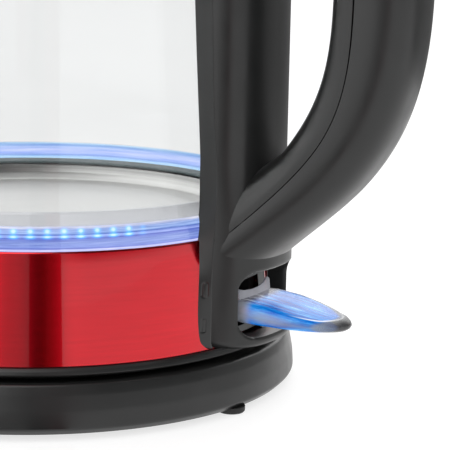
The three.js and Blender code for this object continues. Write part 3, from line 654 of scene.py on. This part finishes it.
def hoop(name, line, look, body, sides=320, **more):
    """An open skin turned about the kettle's axis from a [radius, level] line, facing outwards."""
    points, faces = [], []
    n = len(line)
    for k, (c, s) in enumerate(circle(0, 0, 1, sides)):
        points += [(r * c, r * s, z) for r, z in line]
        a, b = k * n, ((k + 1) % sides) * n
        faces += [(a + i, b + i, b + i + 1, a + i + 1) for i in range(n - 1)]
    piece = mesh(name, points, faces, look, body, **more)
    piece.visible_diffuse = False
    piece.visible_glossy = False
    return piece


def light_ring():
    low, top = LIGHT_LOW, LIGHT_TOP
    outer = LIGHT_R
    turned("ring_lens_fine", [
        (67.5, low + 0.4), (outer - 0.5, low, 0.3), (outer, low + 0.5, 0.4), (outer - 0.3, low + 4.8, 6),
        (outer - 0.75, low + 6.4, 1.2), (outer - 1.35, top - 0.6, 0.4), (outer - 1.9, top, 0.3),
        (67.5, top, 0.3),
    ], CLEAR, "kettle", sides=240, replaces=["light_ring"], slot="clear_plastic")
    hoop("ring_band_fine", [
        (outer - 0.6, low - 0.1), (outer - 0.35, low + 0.2), (outer - 0.4, low + 3.0),
        (outer - 0.7, low + 5.2), (outer - 1.1, low + 6.5), (outer - 1.3, low + 6.9),
    ], BAND, "kettle", slot="clear_plastic")
    hoop("ring_lip_veil", [
        (outer - 1.3, low + 6.9), (outer - 1.5, top - 0.9), (outer - 1.9, top - 0.2), (67.9, top - 0.1),
    ], VEIL, "kettle", slot="clear_plastic")
    hoop("ring_lip_glow", [(67.75, low + 4.0), (67.75, top - 0.2)], LIP, "kettle", slot="clear_plastic")


def glass():
    inner = -GLASS_WALL
    low, top, bend = GLASS_LOW, GLASS_TOP, GLASS_BEND
    turned("glass_fine", [
        (glass_radius(low, inner), low, 0.6), (glass_radius(low), low, 0.9), (glass_radius(bend), bend, 60),
        (glass_radius(top), top, 0.9), (glass_radius(top, inner), top, 0.9),
        (glass_radius(bend, inner), bend, 60),
    ], GLASS, "kettle", sides=240, replaces=["glass_body"], slot="glass")


def heating_plate():
    floor, rim = PLATE_FLOOR, PLATE_RIM
    turned("plate_fine", [
        (0, floor + 0.25), (50, floor + 0.25, 2), (52.4, floor, 2), (58.9, floor, 1.6), (61.2, 51.2, 1.4),
        (62.2, rim, 0.6), (66.9, rim), (66.9, rim - 0.8), (63, rim - 0.8), (61.6, floor - 0.8),
        (0, floor - 0.8),
    ], STEEL, "kettle", sides=240, replaces=["heating_plate"], slot="steel")


# ---------- collar, spout and lid ----------


def polar_outline(points):
    """Radius of an outline, given as points in order of angle, in a given direction."""
    table = sorted((math.atan2(y, x) % math.tau, math.hypot(x, y)) for x, y in points)

    def radius(turn):
        turn %= math.tau
        for (a, ra), (b, rb) in zip(table, table[1:]):
            if a <= turn <= b:
                t = (turn - a) / max(1e-9, b - a)
                return ra + (rb - ra) * t
        return 0.0
    return radius


def beak(share, inset):
    """The spout's plan at a share of its height, as points round its two sides and tip."""
    reach = 62.8 + (SPOUT_TIP - 62.8) * share - inset * 1.5 - 57
    half = 9 + 14 * share - inset
    out = []
    for k in range(41):
        t = math.pi * k / 40
        out.append((-57 - reach * bulge(math.sin(t), 1.55), half * bulge(math.cos(t), 1.55)))
    return polar_outline(out)


def divided(line, step=1.2):
    """The same line with points added, so that no stretch is much longer than a step."""
    out = []
    for (r0, z0), (r1, z1) in zip(line, line[1:]):
        count = max(1, round(math.hypot(r1 - r0, z1 - z0) / step))
        out += [(r0 + (r1 - r0) * k / count, z0 + (z1 - z0) * k / count) for k in range(count)]
    return out + [line[-1]]


def collar():
    """The collar ring, drawn out into the spout, with room inside for the lid's rim and knuckle."""
    count, mouth, top = 288, 55.8, COLLAR_TOP
    outer_line = divided(fillet([
        (60.9, COLLAR_LOW), (62.2, COLLAR_LOW, 0.3), (COLLAR_R, COLLAR_LOW + 2.6, 1.5),
        (COLLAR_R, top - 0.9, 0.8), (COLLAR_R - 0.9, top, 0.8), (57.2, top, 0.5),
    ], closed=False, steps=5))
    inner_line = divided(fillet([
        (57.2, top, 0), (mouth, top - 1.2, 0.6), (mouth, 208.2, 0.5), (57.4, 206.6, 0.3), (60.9, 206.6),
    ], closed=False, steps=3))
    beaks = {z: beak(min(1, max(0, (z - SPOUT_LOW) / 24)), 0) for _, z in outer_line}
    gullies = {z: beak(min(1, max(0, (z - 204.5) / 17.6)), 2) for _, z in inner_line}
    line = outer_line + inner_line[1:]
    points, faces = [], []
    for k in range(count):
        turn = math.tau * k / count
        near = smoothstep(2.35, 2.75, abs(math.atan2(math.sin(turn), math.cos(turn))))
        for i, (r, z) in enumerate(line):
            if i < len(outer_line) and near > 0 and z > SPOUT_LOW:
                rounding = COLLAR_R - r if z > top - 2 else 0
                r = max(r, beaks[z](turn) - rounding)
            elif i >= len(outer_line) and near > 0 and z > 205:
                r = max(r, gullies[z](turn))
            sideways = abs(r * math.sin(turn))
            if i >= len(outer_line) - 3 and math.cos(turn) > 0 and z > 212:
                if sideways < 9.6 and z > 214.6:
                    r = max(r, 62.0)                                # room for the lid's knuckle
                elif sideways < 34 and z > 219:
                    r = max(r, min(59.3, mouth + (z - 219) * 1.06))  # room for the lid's rim to swing
            points.append((r * math.cos(turn), r * math.sin(turn), z))
    n = len(line)
    for k in range(count):
        a, b = k * n, ((k + 1) % count) * n
        faces += [(a + i, b + i, b + (i + 1) % n, a + (i + 1) % n) for i in range(n)]
    mesh("collar_fine", points, faces, BLACK, "kettle", replaces=["top_collar"], slot="black_plastic",
         sharp=40)


def lid():
    top = LID_TOP
    turned("lid_fine", [
        (0, top - 0.2), (17, top - 0.5, 20), (34, top - 1.9, 20), (43.6, top - 4.0, 4),
        (44.2, top - 4.7, 0.3), (45.4, top - 4.9, 0.3), (46.2, top - 4.4, 0.3), (51.5, top - 6.2, 4),
        (LID_R - 0.3, top - 8.4, 1.2), (LID_R, top - 10, 0.6), (LID_R, 215.2, 0.3), (52.4, 215.2),
        (52.4, 220.4, 0.5), (46, 223),
        (0, top - 2.4),
    ], BLACK, "lid", sides=240, replaces=["lid_cover"], slot="black_plastic")
    rings = []
    for y in (-9.2, -8.8, 8.8, 9.2):
        r = 2.6 if abs(y) > 9 else 3.0
        tab = [(HINGE_X + r * math.cos(t), y, HINGE_Z + r * math.sin(t))
               for t in [math.radians(-90 + 180 * k / 20) for k in range(21)]]
        rings.append(tab + [(52.9, y, HINGE_Z + r), (52.9, y, HINGE_Z - r)])
    lofted("lid_knuckle_fine", rings, BLACK, "lid", slot="black_plastic")
    turned("lid_pan_fine", [
        (0, 212.2), (46, 212.2, 2), (50.2, 212.3, 1), (52, 213.8, 0.6), (52, 219), (51.2, 219),
        (51.2, 214.2, 0.6), (49.8, 213.1, 0.6), (0, 213),
    ], STEEL, "lid", sides=160, replaces=["lid_inner_plate"], slot="steel")
    turned("lid_gasket_fine", [
        (52.4, 212.6), (54.6, 212.6, 0.5), (55.4, 213.6, 0.4), (55.4, 214.8, 0.3), (52.4, 214.8),
    ], SILICONE, "lid", sides=160, replaces=["lid_gasket"], slot="silicone")


# ---------- column and handle ----------


def column_line(step):
    """The column's D outline in plan, evenly stepped, as (x, y, outward x, outward y)."""
    back = 69.0
    rough = [(back, -COLUMN_HALF)]
    for k in range(241):
        t = math.pi * k / 240
        x = COLUMN_CENTRE + COLUMN_NOSE * bulge(math.sin(t), COLUMN_POWER)
        if x >= back:
            rough.append((x, -COLUMN_HALF * bulge(math.cos(t), COLUMN_POWER)))
    rough.append((back, COLUMN_HALF))
    length = [0.0]
    for a, b in zip(rough, rough[1:]):
        length.append(length[-1] + math.hypot(b[0] - a[0], b[1] - a[1]))
    count = round(length[-1] / step)
    out = []
    i = 0
    for k in range(count + 1):
        s = length[-1] * k / count
        while i < len(length) - 2 and length[i + 1] < s:
            i += 1
        t = (s - length[i]) / max(1e-9, length[i + 1] - length[i])
        a, b = rough[i], rough[i + 1]
        out.append((a[0] + (b[0] - a[0]) * t, a[1] + (b[1] - a[1]) * t))
    full = []
    for k, (x, y) in enumerate(out):
        a, b = out[max(0, k - 1)], out[min(count, k + 1)]
        tx, ty = b[0] - a[0], b[1] - a[1]
        norm = math.hypot(tx, ty)
        full.append((x, y, ty / norm, -tx / norm))
    return full


def window_profile(y, z, rim, deep):
    """Where a point of the column's face goes near the lever's window: moved (y, z), depth, kept or not."""
    half, low, high, corner = WINDOW
    cz, hz = (low + high) / 2, (high - low) / 2
    qy, qz = abs(y) - (half - corner), abs(z - cz) - (hz - corner)
    if qy > 0 and qz > 0:
        dist = math.hypot(qy, qz) - corner
        gy, gz = qy / (dist + corner), qz / (dist + corner)
    elif qy > qz:
        dist, gy, gz = qy - corner, 1.0, 0.0
    else:
        dist, gy, gz = qz - corner, 0.0, 1.0
    gy, gz = math.copysign(gy, y), math.copysign(gz, z - cz)
    if dist >= rim:
        return y, z, 0.0, True
    if dist > 0:
        angle = (rim - dist) / rim * math.pi / 2
        away, sink = rim * (1 - math.sin(angle)), rim * (1 - math.cos(angle))
    else:
        away, sink = 0.0, rim - dist * deep
    return y + (away - dist) * gy, z + (away - dist) * gz, sink, dist > -2.4


def column_nose(z):
    return COLUMN_NOSE + COLUMN_FOOT * smoothstep(74, 47, z)


def column_side(x, z):
    """Half the width of the column at a distance from the axis and a level."""
    share = (max(0, x - COLUMN_CENTRE) / column_nose(z)) ** COLUMN_POWER
    return COLUMN_HALF * max(0, 1 - share) ** (1 / COLUMN_POWER)


def seam_x(z):
    """Where the column meets the back strip: it bows out at the handle's root and leans in with the glass."""
    return 72.0 + 1.1 * math.exp(-((z - 64) / 14) ** 2) - max(0, z - 75) * GLASS_LEAN * 0.6


def column():
    line = column_line(step=0.55)
    levels = []
    z = COLUMN_LOW
    while z < COLUMN_TOP:
        levels.append(z)
        z += 0.55 if z < 50 else 2.4
    levels.append(COLUMN_TOP)
    edge, closed = 2.2, 9.0                      # rounding of the ends, and how far in they close
    turns = [math.pi / 2 * k / 6 for k in range(7)]
    bends = [(edge * (1 - math.cos(t)), edge * (1 - math.sin(t))) for t in turns]
    rows = [(COLUMN_LOW, closed)] + [(COLUMN_LOW + a, b) for a, b in bends]
    rows += [(z, 0.0) for z in levels if COLUMN_LOW + edge + 0.2 < z < COLUMN_TOP - edge - 0.2]
    rows += [(COLUMN_TOP - b, a) for a, b in bends] + [(COLUMN_TOP, closed)]
    points, keep = [], []
    for z, inset in rows:
        nose = column_nose(z)
        seam = seam_x(z) - 0.3
        for i, (x, y, nx, ny) in enumerate(line):
            my, mz, sink, alive = window_profile(y, z, 0.9, 2.6) if x > 73 else (y, z, 0.0, True)
            share = 0 if abs(my) >= COLUMN_HALF else 1 - (abs(my) / COLUMN_HALF) ** COLUMN_POWER
            x = COLUMN_CENTRE + nose * share ** (1 / COLUMN_POWER)
            if x < seam - 0.28:
                tuck = min(i, len(line) - 1 - i)
                x = seam - 0.02 * (12 - tuck)
                my = math.copysign(column_side(seam, z) - 0.3 - 0.12 * (12 - tuck), my)
            elif x < seam + 0.28:
                x, my = seam, math.copysign(column_side(seam, z), my)
            points.append((x - inset * nx - sink, my - inset * ny, mz))
            keep.append(alive)
    n = len(line)
    faces = []
    for r in range(len(rows) - 1):
        for i in range(n - 1):
            quad = (r * n + i, r * n + i + 1, (r + 1) * n + i + 1, (r + 1) * n + i)
            if all(keep[q] for q in quad):
                faces.append(quad)
    piece = mesh("column_fine", points, faces, BLACK, "kettle", replaces=["handle_shell"],
                 slot="black_plastic", sharp=50)
    piece.visible_glossy = False
    window_back()


def window_back():
    """The grey sheet behind the window, close to the skirt, faintly rippled, with a gap for the lever."""
    half, low, high, _ = WINDOW
    points, faces = [], []
    across, up = 60, 40
    for j in range(up + 1):
        z = low - 0.6 + (high - low + 5.0) * j / up
        r = skirt_radius(z) + 0.45
        for i in range(across + 1):
            y = (half + 1.6) * (2 * i / across - 1)
            ripple = 0.15 * math.sin(i * 1.3) ** 2
            points.append((math.sqrt(r * r - y * y) + ripple, y, z))
    for j in range(up):
        for i in range(across):
            y, z = points[j * (across + 1) + i][1:]
            if not (abs(y + 0.25) < 10.2 and 23.0 < z < 35.5):
                a = j * (across + 1) + i
                faces.append((a, a + 1, a + across + 2, a + across + 1))
    mesh("window_back_fine", points, faces, LINING, "kettle", slot="black_plastic", sharp=60)


def strip():
    """The plate between the glass and the column: its straight sides carry two small moulded marks."""
    marks = [(36.4, 2.1, 0.66), (26.4, 1.9, 0.30)]          # level, half height and half width
    levels = [STRIP_LOW + 0.1 + 0.16 * k for k in range(150)]
    while levels[-1] < STRIP_TOP - 1.6:
        levels.append(levels[-1] + 1.5)
    levels.append(STRIP_TOP)
    for sign, label in ((-1, "near"), (1, "far")):
        rings = []
        for z in levels:
            wall = 69.4 - max(0, z - GLASS_BEND) * GLASS_LEAN if z > 50 else skirt_radius(z)
            foot = 1.8 * smoothstep(60, 47, z) + 5.6 * smoothstep(52, 16, z)
            half = 17.1 + 0.2 * smoothstep(75, 105, z) + foot
            up = z - STRIP_LOW
            corner = 0.0 if up > 3.2 else 3.2 - math.sqrt(max(0, 3.2 ** 2 - (3.2 - up) ** 2))
            x0, y0 = math.sqrt(wall ** 2 - half ** 2) - 0.5, half - corner
            x1 = seam_x(z)
            y1 = column_side(x1, z) + 0.25 - corner * 0.2
            front = []
            for k in range(49):
                t = k / 48
                x, y = x0 + (x1 - x0) * t, y0 + (y1 - y0) * t
                sink = 0.0
                for level, tall, wide in marks:
                    reach = max(0, abs(z - level) - (tall - wide))
                    near = abs(math.hypot((t - 0.57) * (x1 - x0), reach) - wide)
                    sink += 0.34 * max(0, 1 - near / 0.27)
                if t > 0.93:
                    sink += 0.35 * (1 - math.sqrt(max(0, 1 - ((t - 0.93) / 0.07) ** 2)))
                front.append((x, sign * (y - sink), z))
            front += [(x1 + 0.05, sign * (y1 - 1.0), z), (x0, sign * (y0 - 2.4), z)]
            rings.append(front[::-1] if sign > 0 else front)
        piece = lofted(f"strip_fine_{label}", rings, BLACK, "kettle", slot="black_plastic",
                       replaces=["column_back_plate"] if sign < 0 else (), sharp=50)
        piece.visible_glossy = False
    # The plate's middle, which closes the column's back and is seen through the glass.
    rings = []
    for z in (LIGHT_TOP + 0.4, 66, GLASS_BEND, 100, 140, 180, STRIP_TOP - 0.5):
        wall = glass_radius(z, 0.45)
        arc = [math.asin(14.6 / wall) * (k / 16 - 1) for k in range(33)]
        ring = [(wall * math.cos(a), wall * math.sin(a), z) for a in arc]
        ring += [((wall + 1.4) * math.cos(a), (wall + 1.4) * math.sin(a), z) for a in arc[::-1]]
        rings.append(ring[::-1])
    lofted("strip_middle_fine", rings, BLACK, "kettle", slot="black_plastic", sharp=50)


def cubic(line, t):
    """Point and slope of a cubic curve with four control points."""
    a, b, c, d = (Vector(p) for p in line)
    s = 1 - t
    point = s ** 3 * a + 3 * s * s * t * b + 3 * s * t * t * c + t ** 3 * d
    return point, 3 * s * s * (b - a) + 6 * s * t * (c - b) + 3 * t * t * (d - c)


def handle_curve():
    """Stations along the handle: centre, outward direction, flare, seam offset, outer and inner depth."""
    steps = (60, 50, 8)
    curves = [
        [(71.6, 48.7), (101.5, 75.4), (HANDLE_X, 87), (HANDLE_X, 124)],
        [(HANDLE_X, 124), (HANDLE_X, 170), (112, ARM_Z), (90, ARM_Z)],
        [(90, ARM_Z), (80.6, ARM_Z), (71.3, ARM_Z), (62.5, ARM_Z)],
    ]
    out = []
    for part, curve in enumerate(curves):
        for k in range(0 if part == 0 else 1, steps[part] + 1):
            t = k / steps[part]
            (x, z), (dx, dz) = cubic(curve, t)
            norm = math.hypot(dx, dz)
            flare = 1 + 0.28 * max(0, 1 - t / 0.38) ** 2 if part == 0 else 1
            seam = -2.9 * smoothstep(0.4, 1, t) if part == 0 else -2.9
            along = part + t
            arm = smoothstep(1.3, 1.9, along)
            outer = 11.1 + 1.5 * smoothstep(0, 0.4, along) + (HANDLE_OUT - 12.6) * arm
            outer += 0.6 * math.exp(-((along - 0.5) / 0.26) ** 2)
            # Thins from the root to 0.3 along, swells towards the grip and thins a little to the arm.
            swell = 3.6 * (1 - (1 - min(1, along - 0.3)) ** 2) if along > 0.3 else 11.85 * (0.3 - along)
            inner = 9.1 + swell + (10.9 - 12.7) * arm
            out.append((x, z, dz / norm, -dx / norm, flare, seam, outer, inner))
    return out


def handle_half(seam, sign, depth, gap):
    """Closed section of one half of the handle, as (side, out) points, with a rounded parting edge."""
    power, steps, wall = 2.6, 44, 2.4
    outer, inner = [], []
    for k in range(steps + 1):
        t = math.pi * k / steps
        c, s = bulge(math.cos(t), power), bulge(math.sin(t), power)
        ease = 0.18 * (1 - smoothstep(0, 0.5, depth * s))
        outer.append((HANDLE_HALF * c - math.copysign(ease, c), seam + sign * (gap + depth * s)))
        inner.append(((HANDLE_HALF - wall) * c, seam + sign * (gap + (depth - wall) * s)))
    return outer + inner[::-1]


def outside_glass(x, y, z):
    """A point of the handle's root, kept off the skirt, the ring and the glass."""
    if z > STRIP_TOP:
        return x, y, z
    wall = LIGHT_R + 0.5 if z < LIGHT_TOP + 1 else glass_radius(z, 0.4)
    if z < LIGHT_LOW:
        wall += (LIGHT_LOW - z) * 0.12
    least = math.sqrt(max(0, wall * wall - y * y))
    return max(x, least), y, z


def handle():
    for name, sign, node in (("handle_back_fine", 1, None), ("handle_grip_fine", -1, "handle_grip")):
        rings = []
        for x, z, nx, nz, flare, seam, outer, inner in handle_curve():
            depth = outer - seam if sign > 0 else inner + seam
            gap = 0.14 + 0.12 * smoothstep(90, 120, z)
            section = handle_half(seam, sign, depth - gap, gap)
            ring = [outside_glass(x + nx * out, side * flare, z + nz * out) for side, out in section]
            rings.append(ring if sign > 0 else ring[::-1])
        lofted(name, rings, BLACK, "kettle", replaces=[node] if node else (), slot="black_plastic", sharp=50)


def button():
    x0, x1, half, low, top = 67.6, 86.0, 7.4, 222.9, 227.0
    cx, hx = (x0 + x1) / 2, (x1 - x0) / 2
    rings = []
    for z, inset in ((low, 0.2), (low + 0.3, 0), (top - 1.2, 0), (top - 0.6, 0.2), (top - 0.2, 0.55),
                     (top, 1.2)):
        rings.append([(cx + u, v, z) for u, v in superellipse(hx - inset, half - inset, 6, 64)])
    lofted("button_fine", rings, BLACK, "lid_button", replaces=["lid_button"], slot="black_plastic", sharp=40)
    for k in range(5):
        rings = [[(x, y, z) for x, z in circle(cx - 4.4 + 2.2 * k, top - 0.18, r, 16)]
                 for y, r in ((-5.2, 0.1), (-5.0, 0.32), (-4.6, 0.42), (4.6, 0.42), (5.0, 0.32), (5.2, 0.1))]
        lofted(f"button_rib_{k + 1}", rings, BLACK, "lid_button", slot="black_plastic")


# ---------- switch lever ----------


def paddle_outline(inset):
    """Plan of the paddle: straight near the window, rounded to the tip."""
    half, reach = PADDLE_HALF - inset, PADDLE_TIP - inset - PADDLE_ROOT
    turns = [math.pi * k / 72 for k in range(73)]
    out = [(PADDLE_ROOT + reach * bulge(math.sin(t), 1.9), half * bulge(math.cos(t), 1.9)) for t in turns]
    return [(75.4, half - 1.2), (78, half - 0.3)] + out + [(78, -half + 0.3), (75.4, -half + 1.2)]


def lever():
    level, thick = 28.0, 3.4

    def layer(inset, z):
        out = []
        for x, y in paddle_outline(inset):
            sag = max(0, x - 86) * 0.05 + max(0, x - 86) ** 2 * 0.0008
            rise = 2.5 * min(1.2, max(0, (100 - x) / 17)) * smoothstep(level - 1, level + 1.5, z)
            out.append((max(x, 75.4), y, z + rise - sag - 0.5 * (y / PADDLE_HALF) ** 2))
        return out

    rings = [layer(inset, level + thick * up) for inset, up in (
        (3.0, -0.5), (1.3, -0.42), (0.4, -0.22), (0.0, 0), (0.3, 0.22), (1.1, 0.42), (2.6, 0.5))]
    blade = lofted("paddle_fine", rings, LIT_PADDLE, "switch_lever", replaces=["switch_paddle"],
                   slot="clear_plastic", sharp=60)
    blade.visible_diffuse = False
    blade.visible_glossy = False
    rings = []
    for y, drop in ((-9.6, 0.9), (-8.9, 0.25), (-6.5, 0.9), (-3, 1.25), (0, 1.35), (3, 1.2), (6.5, 0.7),
                    (8.4, -0.35), (9.2, -0.3), (9.6, 0.5)):
        bow = (y / 9.6) ** 2 * 0.8
        section = [(75.2, 28.5), (77.8, 28.5), (77.2, 30.4), (76.7, 35.0 - drop), (76.2, 35.5 - drop),
                   (75.5, 35.2 - drop)]
        rings.append([(x - bow, y, z) for x, z in section])
    lofted("paddle_wall_fine", rings, UPSTAND, "switch_lever", slot="clear_plastic", sharp=50)
    rings = []
    for y in (-8.6, -8.3, 8.3, 8.6):
        rings.append([(x, y, z) for x, z in circle(66, 27, 3.5 if abs(y) > 8.5 else 3.8, 40)])
    lofted("paddle_hub_fine", rings, PADDLE, "switch_lever", slot="clear_plastic")


# ---------- CAD nodes that keep their shape ----------


def steam_tube():
    low, high = (corner * 1000 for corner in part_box("steam_tube"))
    x, y = (low.x + high.x) / 2 - AXIS, (low.y + high.y) / 2
    radius = (high.y - low.y) / 2
    levels = ((radius - 0.3, 43.4), (radius, 43.7), (radius, high.z - 0.3), (radius - 0.3, high.z))
    rings = [[(*point, z) for point in circle(x, y, r, 36)] for r, z in levels]
    lofted("steam_tube_fine", rings, WHITE, "kettle", replaces=["steam_tube"], slot="white_plastic")


def carried_over():
    looks = {
        DARK: ["inner_chassis", "control_unit", "filter_frame"],
        RUBBER: ["cord_gland"],
        STEEL_PLAIN: ["base_screw_1", "base_screw_2", "base_screw_3", "bottom_screw_1", "bottom_screw_2",
                      "bottom_screw_3", "column_screw_1", "column_screw_2", "heating_element",
                      "lever_pivot_pin", "lid_hinge_pin", "filter_mesh", "button_spring"],
        ALUMINIUM: ["heat_spreader"],
        BRASS: ["base_contact_pin", "base_contact_ring", "coupler_contact_sleeve", "bimetal_disc"],
        BOARD: ["led_ring_board"],
        SILICONE: ["collar_seal"],
        WHITE: ["coupler_socket", "trip_lever", "lid_latch"],
    }
    for look, nodes in looks.items():
        for node in nodes:
            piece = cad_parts[node]
            piece.data.materials.clear()
            piece.data.materials.append(look)
            piece.data.shade_smooth()
            piece.data.set_sharp_from_angle(angle=math.radians(30))
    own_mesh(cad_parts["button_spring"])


# ---------- studio ----------


def reflected_only(card):
    card.visible_camera = False
    card.visible_diffuse = False
    card.visible_transmission = False
    card.visible_shadow = False


def card(name, tone, count, row):
    """An upright card with a run along the floor, from count + 1 rows of three points."""
    look = Look(name)
    look.principled(Base_Color=tone, Roughness=1.0, Specular_IOR_Level=0.0)
    points = [point for k in range(count + 1) for point in row(k / count)]
    faces = [(k + i, k + 3 + i, k + 4 + i, k + 1 + i) for k in range(0, 3 * count, 3) for i in (0, 1)]
    reflected_only(mesh(name, points, faces, look.material, None))


def cards():
    """Tall cards beside the camera give the upright bands in the lacquer. The table's far part reflects
    grey, which keeps the upright edges of the handle and column dark."""
    camera_heading = -56
    for name, start, stop, tone in (("card_grey", -74, -58.5, (0.42, 0.42, 0.42)),
                                    ("card_black", -58.5, -51, (0.015, 0.015, 0.015)),
                                    ("card_red", -51, -43.8, (0.20, 0.035, 0.04))):
        def ray(share):
            """Points on the line that a glance from the camera takes after it meets the skirt."""
            heading = start + (stop - start) * share
            spot, run = math.radians((heading + camera_heading) / 2), math.radians(heading)
            return [(SKIRT_R * math.cos(spot) + along * math.cos(run),
                     SKIRT_R * math.sin(spot) + along * math.sin(run), z)
                    for along, z in ((9, 0.6), (520, 0.6), (520, 700))]
        card(name, tone, 4, ray)

    def spoke(share):
        heading = math.radians(26 + 129 * share)
        return [(r * math.cos(heading), r * math.sin(heading), z)
                for r, z in ((420, 0.6), (3500, 0.6), (3500, 330))]
    card("card_table", (0.22, 0.22, 0.22), 12, spoke)


def surroundings():
    """White light, but reflections see bright walls with a dark gap beside the handle and a grey wall."""
    world = bpy.data.worlds.new("studio")
    bpy.context.scene.world = world
    sky = Look("studio", world)
    way = sky.add("SeparateXYZ")
    sky.link(sky.add("TexCoord").outputs["Generated"], way.inputs[0])
    heading = sky.math("MULTIPLY", sky.math("ARCTAN2", way.outputs[1], way.outputs[0]), 180 / math.pi)
    walls = [(-180, 1.6), (-62, 1.6), (-52, 0.9), (-32, 0.05), (20, 0.05), (42, 0.34), (64, 0.42), (84, 1.2),
             (150, 1.3)]
    wall = sky.ramp(sky.span(heading, -180, 180), [((at + 180) / 360, tone * 0.6) for at, tone in walls])
    rise = sky.span(way.outputs[2], 0.03, 0.12, smooth=True)
    mirrored, white = sky.add("Background"), sky.add("Background")
    sky.feed(mirrored.inputs, (sky.tint("MIX", (0.6, 0.6, 0.6), wall, rise), 2.25))
    path = sky.add("LightPath")
    strength = sky.span(path.outputs["Is Camera Ray"], 0, 1, 1.35, 0.985)
    sky.feed(white.inputs, ((1.0, 1.0, 1.0), strength))
    mix = sky.blend(path.outputs["Is Glossy Ray"], white.outputs[0], mirrored.outputs[0])
    sky.link(mix, sky.out.inputs[0])


def studio():
    reach = 14000
    corners = [(-reach, -reach, 0), (reach, -reach, 0), (reach, reach, 0), (-reach, reach, 0)]
    floor = mesh("floor", corners, [(0, 1, 2, 3)], FLOOR, None, axis=False)
    bpy.context.scene.view_settings.view_transform = "Standard"
    surroundings()
    cards()


make_camera()
power_base()
kettle_foot()
light_ring()
glass()
heating_plate()
collar()
lid()
column()
strip()
handle()
button()
lever()
steam_tube()
carried_over()
studio()
